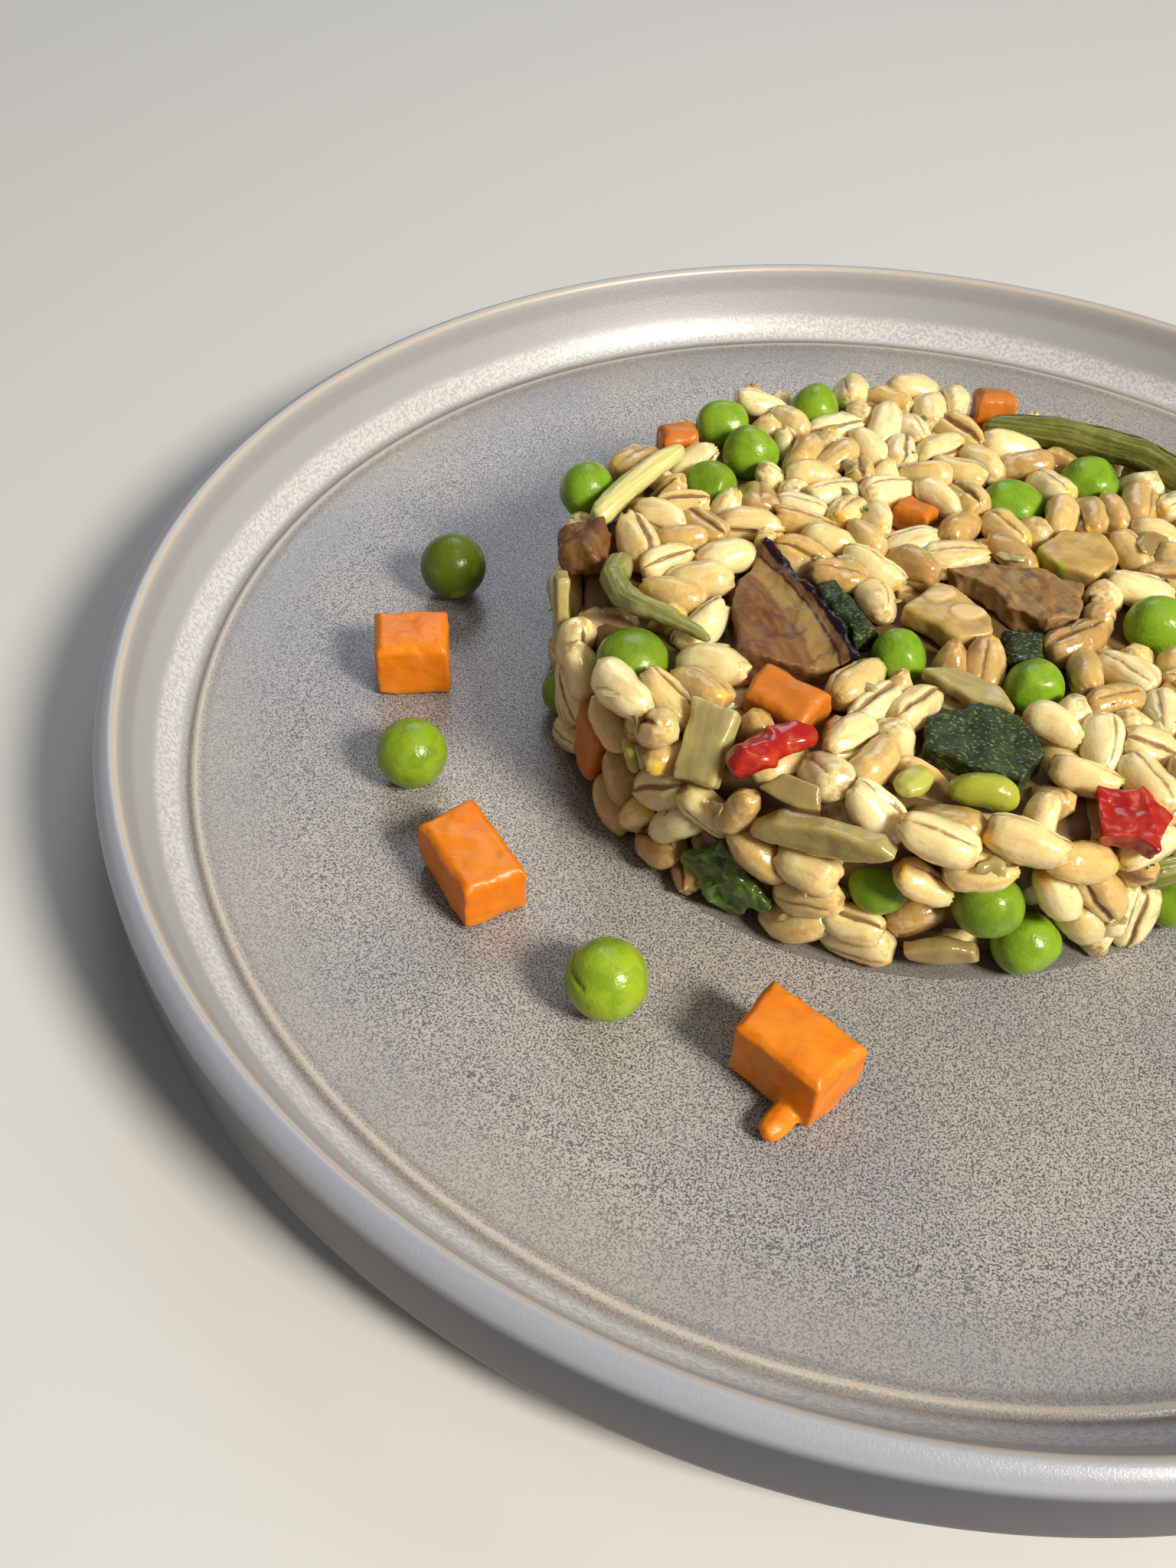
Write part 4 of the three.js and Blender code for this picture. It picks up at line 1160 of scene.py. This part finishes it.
# %% Bean finish
POD_DARK, POD, POD_TAN = (0.105, 0.115, 0.018), (0.215, 0.215, 0.048), (0.28, 0.235, 0.05)
WAX_DARK, WAX_PALE = (0.58, 0.52, 0.17), (0.74, 0.68, 0.32)
SEAM_LIP, SEAM_DARK = (0.26, 0.23, 0.045), (0.03, 0.026, 0.008)
bean = Finish(
    "cooked_bean", subsurface_weight=0.2, subsurface_radius=(0.8, 1.0, 0.3),
    subsurface_scale=1.5 * MM, coat_weight=0.1, coat_roughness=0.13, ior=1.36,
)
lengthwise = bean.vector(bean.stored("along") * 0.09, bean.stored("side") * 1.5)
ridge = bean.noise(1.0, detail=2, vector=lengthwise)
spot = bean.noise(2.2 * MM, detail=3)
pod = bean.mix(ridge.ramp(0.4, 0.65), POD_DARK, POD)
pod = bean.mix(spot.ramp(0.55, 0.75) * 0.4, pod, POD_TAN)
wax = bean.mix(ridge.ramp(0.35, 0.7), WAX_DARK, WAX_PALE)
pod = bean.mix(bean.stored("pale"), pod, wax)
seam = (bean.stored("seam") + (spot - 0.5) * 0.5).band(0, 0.12, 0.3)
lip = bean.stored("seam").band(0, 0.5, 0.25) - seam
pod = bean.mix(lip * 0.55, pod, SEAM_LIP)
bean.colour(bean.mix(seam, pod, SEAM_DARK))
bean.gloss(0.22 + spot * 0.16)
bean.relief(ridge * 0.5 + bean.noise(0.5 * MM) * 0.2 + spot * 0.3 - seam * 0.8, 0.3 * MM, 0.6)


# %% Bean pods
def make_bean(node):
    """A pod with its own directions, its paleness and the distance from its open seam."""
    piece = softened(node, 0.28, 6, (5, 1.0), (1.4, 0.22))
    points = points_of(piece)
    along, side = distance_to_path(points, BEAN_PATHS[node])
    above = points[:, 2] - points[:, 2].mean()
    store(piece, "along", along)
    store(piece, "side", side + above)
    store(piece, "pale", PALENESS[node])
    split_open = (above > 0) & (node == "bean_01")
    store(piece, "seam", np.where(split_open, side - OPEN_SEAM + SEAM_DRIFT * along, HIDDEN_SEAM))
    return piece


GREEN_PODS = ["bean_01", "bean_03", "bean_04"]
finish_parts("green_bean_pods", [make_bean(n) for n in GREEN_PODS], bean, "green_bean", *GREEN_PODS)
finish_parts("pale_bean_pod", [make_bean("bean_02")], bean, "pale_bean", "bean_02")

# %% [markdown]
# ### Onion, cabbage and leaf
# Onion stewed to glass is pale brown, lets light through and is lined lengthwise. The strips lie
# every way, so each one finds its own longest direction and stores how far along it and how far
# aside a point lies. The leaf is the same idea in dark green, crumpled by a strong noise.

# %% Onion and leaf
ONIONS = ["onion_01", "onion_02", "onion_03", "onion_04", "onion_05", "cabbage_01"]
BROWNED = dict(zip(ONIONS, (0.3, 0.85, 0.12, 0.75, 0.1, 0.0)))


def sheet_finish(name, pale, middle, dark, lines):
    """Three tones of a thin, wet piece. Lines says how close its stripes are."""
    sheet = Finish(
        name, subsurface_weight=0.75, subsurface_radius=(1.0, 0.75, 0.35),
        subsurface_scale=2.6 * MM, coat_weight=0.4, coat_roughness=0.09, ior=1.36,
    )
    lengthwise = sheet.vector(sheet.stored("along") * 0.08, sheet.stored("side") * lines)
    stripe = sheet.noise(1.0, detail=3, vector=lengthwise)
    cloud = sheet.noise(3 * MM, detail=3)
    tone = sheet.mix(stripe.ramp(0.25, 0.75) * 0.3 + cloud.ramp(0.35, 0.7) * 0.4, middle, pale)
    browned = sheet.stored("browned") * 0.8 + (cloud - 0.5) * 0.6
    sheet.colour(sheet.mix(browned, tone, dark))
    sheet.gloss(0.12 + cloud * 0.14)
    sheet.relief(stripe * 0.35 + sheet.noise(0.7 * MM, detail=2) * 0.65, 0.2 * MM, 0.5)
    return sheet


def make_sheet(node, passes, coarse, fine, browned):
    """A thin piece with its two longest directions and how browned it is."""
    piece = softened(node, 0.26, passes, coarse, fine)
    points = points_of(piece)
    spread = points - points.mean(0)
    _, _, ways = np.linalg.svd(spread, full_matrices=False)
    store(piece, "along", spread @ ways[0])
    store(piece, "side", spread @ ways[1])
    store(piece, "browned", browned)
    return piece


onion = sheet_finish("glassy_onion", (0.60, 0.52, 0.24), (0.37, 0.305, 0.105), (0.25, 0.155, 0.05), 1.3)
parts = [make_sheet(n, 22, (5.5, 1.5), (1.6, 0.1), BROWNED[n]) for n in ONIONS]
finish_parts("onion_and_cabbage", parts, onion, "onion", *ONIONS)
leafy = sheet_finish("wilted_leaf", (0.24, 0.34, 0.05), (0.055, 0.13, 0.012), (0.018, 0.045, 0.005), 0.7)
leaf = make_sheet("leaf_01", 2, (3.2, 3.2), (1.1, 0.7), 0.3)
finish_parts("wilted_leaf", [leaf], leafy, "leaf", "leaf_01")

# %% [markdown]
# ### Red pepper and seeds
# The pepper has lost its bite: two folded, glossy scraps, deep red with orange patches. The seeds are
# small, smooth and pale green.

# %% Pepper and seeds
pepper = Finish(
    "stewed_pepper", subsurface_weight=0.35, subsurface_radius=(1.0, 0.15, 0.08),
    subsurface_scale=1.8 * MM, coat_weight=0.4, coat_roughness=0.07,
)
PEPPER_RED, PEPPER_GLOW = (0.36, 0.010, 0.005), (0.55, 0.06, 0.014)
fold = pepper.noise(2.4 * MM, detail=2)
pepper.colour(pepper.mix(fold.ramp(0.45, 0.72) * 0.7, PEPPER_RED, PEPPER_GLOW))
pepper.gloss(0.2 + fold * 0.12)
pepper.relief(fold * 0.6 + pepper.noise(0.7 * MM) * 0.4, 0.2 * MM, 0.4)
PEPPERS = ["pepper_01", "pepper_02"]
parts = [softened(n, 0.26, 9, (4.0, 2.4), (1.6, 0.35)) for n in PEPPERS]
finish_parts("pepper_scraps", parts, pepper, "pepper", *PEPPERS)

seed = Finish(
    "pale_seed", subsurface_weight=0.3, subsurface_radius=(0.8, 1.0, 0.4),
    subsurface_scale=1.5 * MM, coat_weight=0.2, coat_roughness=0.1, ior=1.36,
)
SEED_GREEN, SEED_PALE = (0.38, 0.37, 0.05), (0.54, 0.51, 0.12)
seed.colour(seed.mix(seed.noise(1.5 * MM), SEED_GREEN, SEED_PALE))
seed.gloss(0.28 + seed.noise(0.8 * MM) * 0.1)
SEEDS = ["seed_01", "seed_02"]
parts = [softened(n, 0.2, 6, (3, 0.2), (1, 0.05)) for n in SEEDS]
finish_parts("vegetable_seeds", parts, seed, "seed", *SEEDS)

# %% [markdown]
# ## Scraps, and the film of stock
# Between the grains cling thin scraps of onion and husk, and a few dark herb flecks. Each is one
# small bent flake, laid on points just off chosen grains by the same tree that laid the grains.
# Under the lowest grains lies a thin film of stock, glossy and almost clear. It hardly shows.

# %% Flakes
FLAKE_SIDES, SCRAPS, FLECKS = 9, 44, 46
FLAKE_DEPTH = 3.2  # only grains with their middle nearer to the surface than this carry flakes
FLAKE_OUT, FLAKE_ASIDE, FLAKE_LEAN = 1.35, 2.0, 0.35
FLAKE_WOBBLE = dict(wobble_size=2.0 * MM, wobble=0.9 * MM, pit_size=0.8 * MM, pits=0.15 * MM)


def flake_form(name):
    """A thin, bent, uneven disc, 2 mm across, of a few dozen faces."""
    draw = np.random.default_rng(21)
    around = np.arange(FLAKE_SIDES) * 2 * math.pi / FLAKE_SIDES
    edge = 1 + draw.uniform(-0.35, 0.3, FLAKE_SIDES)
    x, y = edge * np.cos(around), edge * np.sin(around)
    rings = []
    for share, lift in ((0.5, -0.16), (1.0, -0.03), (1.0, 0.03), (0.5, 0.16)):
        bend = 0.35 * (x * share) ** 2 - 0.12 * y * share
        rings.append(np.column_stack((x * share, y * share, bend + lift)))
    ends = [(0, 0, -0.18), (0, 0, 0.18)]
    faces = [face[::-1] for face in tube_faces(4, FLAKE_SIDES)]
    return mesh_object(name, np.vstack(rings + [ends]), faces)


def scattered(name, count, size, finish, browned, seed, slot):
    """Flakes beside grains of the surface, leaning a little out of it."""
    draw = np.random.default_rng(seed)
    chosen = draw.choice(np.flatnonzero(depth < FLAKE_DEPTH), count, replace=False)
    places, turns = [], []
    for middle in middles[chosen]:
        out = np.array(facing(middle))
        aside = np.cross(out, draw.normal(size=3))
        places.append(middle + out * FLAKE_OUT + aside / np.linalg.norm(aside) * FLAKE_ASIDE)
        lean = Vector(out + draw.normal(0, FLAKE_LEAN, 3)).to_track_quat("Z", "Y").to_euler()
        turns.append(tuple(lean))
    here = np.array(places) + np.append(CENTRE, 0)
    piece = mesh_object(name, here, [])
    stretch = draw.uniform(*size, (count, 1))
    stretch = stretch * draw.uniform((0.7, 0.5, 0.6), (1.3, 1.0, 1.0), (count, 3))
    numbers = {"turn": turns, "stretch": stretch, "along": here[:, 0], "side": here[:, 1]}
    for key, values in numbers.items():
        store(piece, key, values)
    store(piece, "browned", draw.uniform(*browned, count))
    lay_on(piece, flake_form(name + "_form"), finish, FLAKE_WOBBLE, slot)


scattered("onion_scraps", SCRAPS, (1.1, 2.1), onion, (0.1, 1.0), 31, "onion")
scattered("herb_flecks", FLECKS, (0.28, 0.55), leafy, (0.2, 1.4), 32, "leaf")

# %% Film of stock
FILM_POINTS, FILM_REACH, FILM_WANDER = 240, 49.3, 0.8
FILM_BASE, FILM_HEIGHT = 7.02, 0.16
FILM_SECTION = ((5.0, 0), (0.0, 0), (0.12, 0.5), (0.7, 1), (5.0, 1))  # inset in mm, share of the height


def make_film():
    """A flat ring of liquid whose outer edge wanders, under the foot of the round."""
    angles = np.arange(FILM_POINTS) * 2 * math.pi / FILM_POINTS
    wander = sum(np.cos(k * angles + 1.7 * k) / k for k in (3, 5, 8, 13, 21, 34)) * FILM_WANDER
    edge = FILM_REACH + wander
    rings = [
        ring(edge - inset, FILM_BASE + FILM_HEIGHT * lift, FILM_POINTS)
        for inset, lift in FILM_SECTION
    ]
    points = np.vstack(rings) + np.append(CENTRE, 0)
    faces = []
    for low in range(0, len(points), FILM_POINTS):
        high = (low + FILM_POINTS) % len(points)
        for k in range(FILM_POINTS):
            after = (k + 1) % FILM_POINTS
            faces.append((low + k, low + after, high + after, high + k))
    return mesh_object("film_of_stock", points, faces)


stock = Finish("clear_stock", base_color=(0.34, 0.31, 0.27, 1), roughness=0.05, alpha=0.3, ior=1.36)
finish_piece(make_film(), stock, "farro")

# %% [markdown]
# ## Floor and light
# A plain pale floor and three soft lamps: a warm one from the front right, which makes the glints, a
# cool one from behind and a faint one above. A dim even light fills what they leave dark.

# %% Stage
def lamp(name, place, size, power, tint):
    """A round, soft lamp that looks at the middle of the plate."""
    light = bpy.data.lights.new(name, "AREA")
    light.shape, light.size, light.energy, light.color = "DISK", size, power, tint
    obj = bpy.data.objects.new(name, light)
    bpy.context.scene.collection.objects.link(obj)
    obj.location = place
    obj.rotation_euler = (-Vector(place)).to_track_quat("-Z", "Y").to_euler()


FLOOR_HALF, FLOOR_DROP = 1.5, 0.0002  # metres; the drop keeps the foot ring off the floor's face
corners = np.array([(-1, -1, 0), (1, -1, 0), (1, 1, 0), (-1, 1, 0)])
floor = mesh_object("floor", corners * FLOOR_HALF / MM, [(0, 1, 2, 3)])
floor.location.z = -FLOOR_DROP
pale_floor = Finish("pale_floor", base_color=(0.62, 0.61, 0.59, 1), roughness=0.7)
floor.data.materials.append(pale_floor.material)

lamp("window", (0.70, -0.34, 0.69), 0.28, 15.5, (1, 0.94, 0.83))
lamp("sky", (-0.35, 0.95, 0.85), 0.7, 3.6, (0.80, 0.88, 1))
lamp("ceiling", (0.25, 0.1, 1.3), 0.5, 1.4, (1, 0.97, 0.92))
world = bpy.data.worlds.new("room_light")
bpy.context.scene.world = world
world.use_nodes = True
even_light = world.node_tree.nodes["Background"].inputs
even_light["Color"].default_value = (0.93, 0.96, 1, 1)
even_light["Strength"].default_value = 0.16
bpy.context.scene.view_settings.view_transform = "Standard"
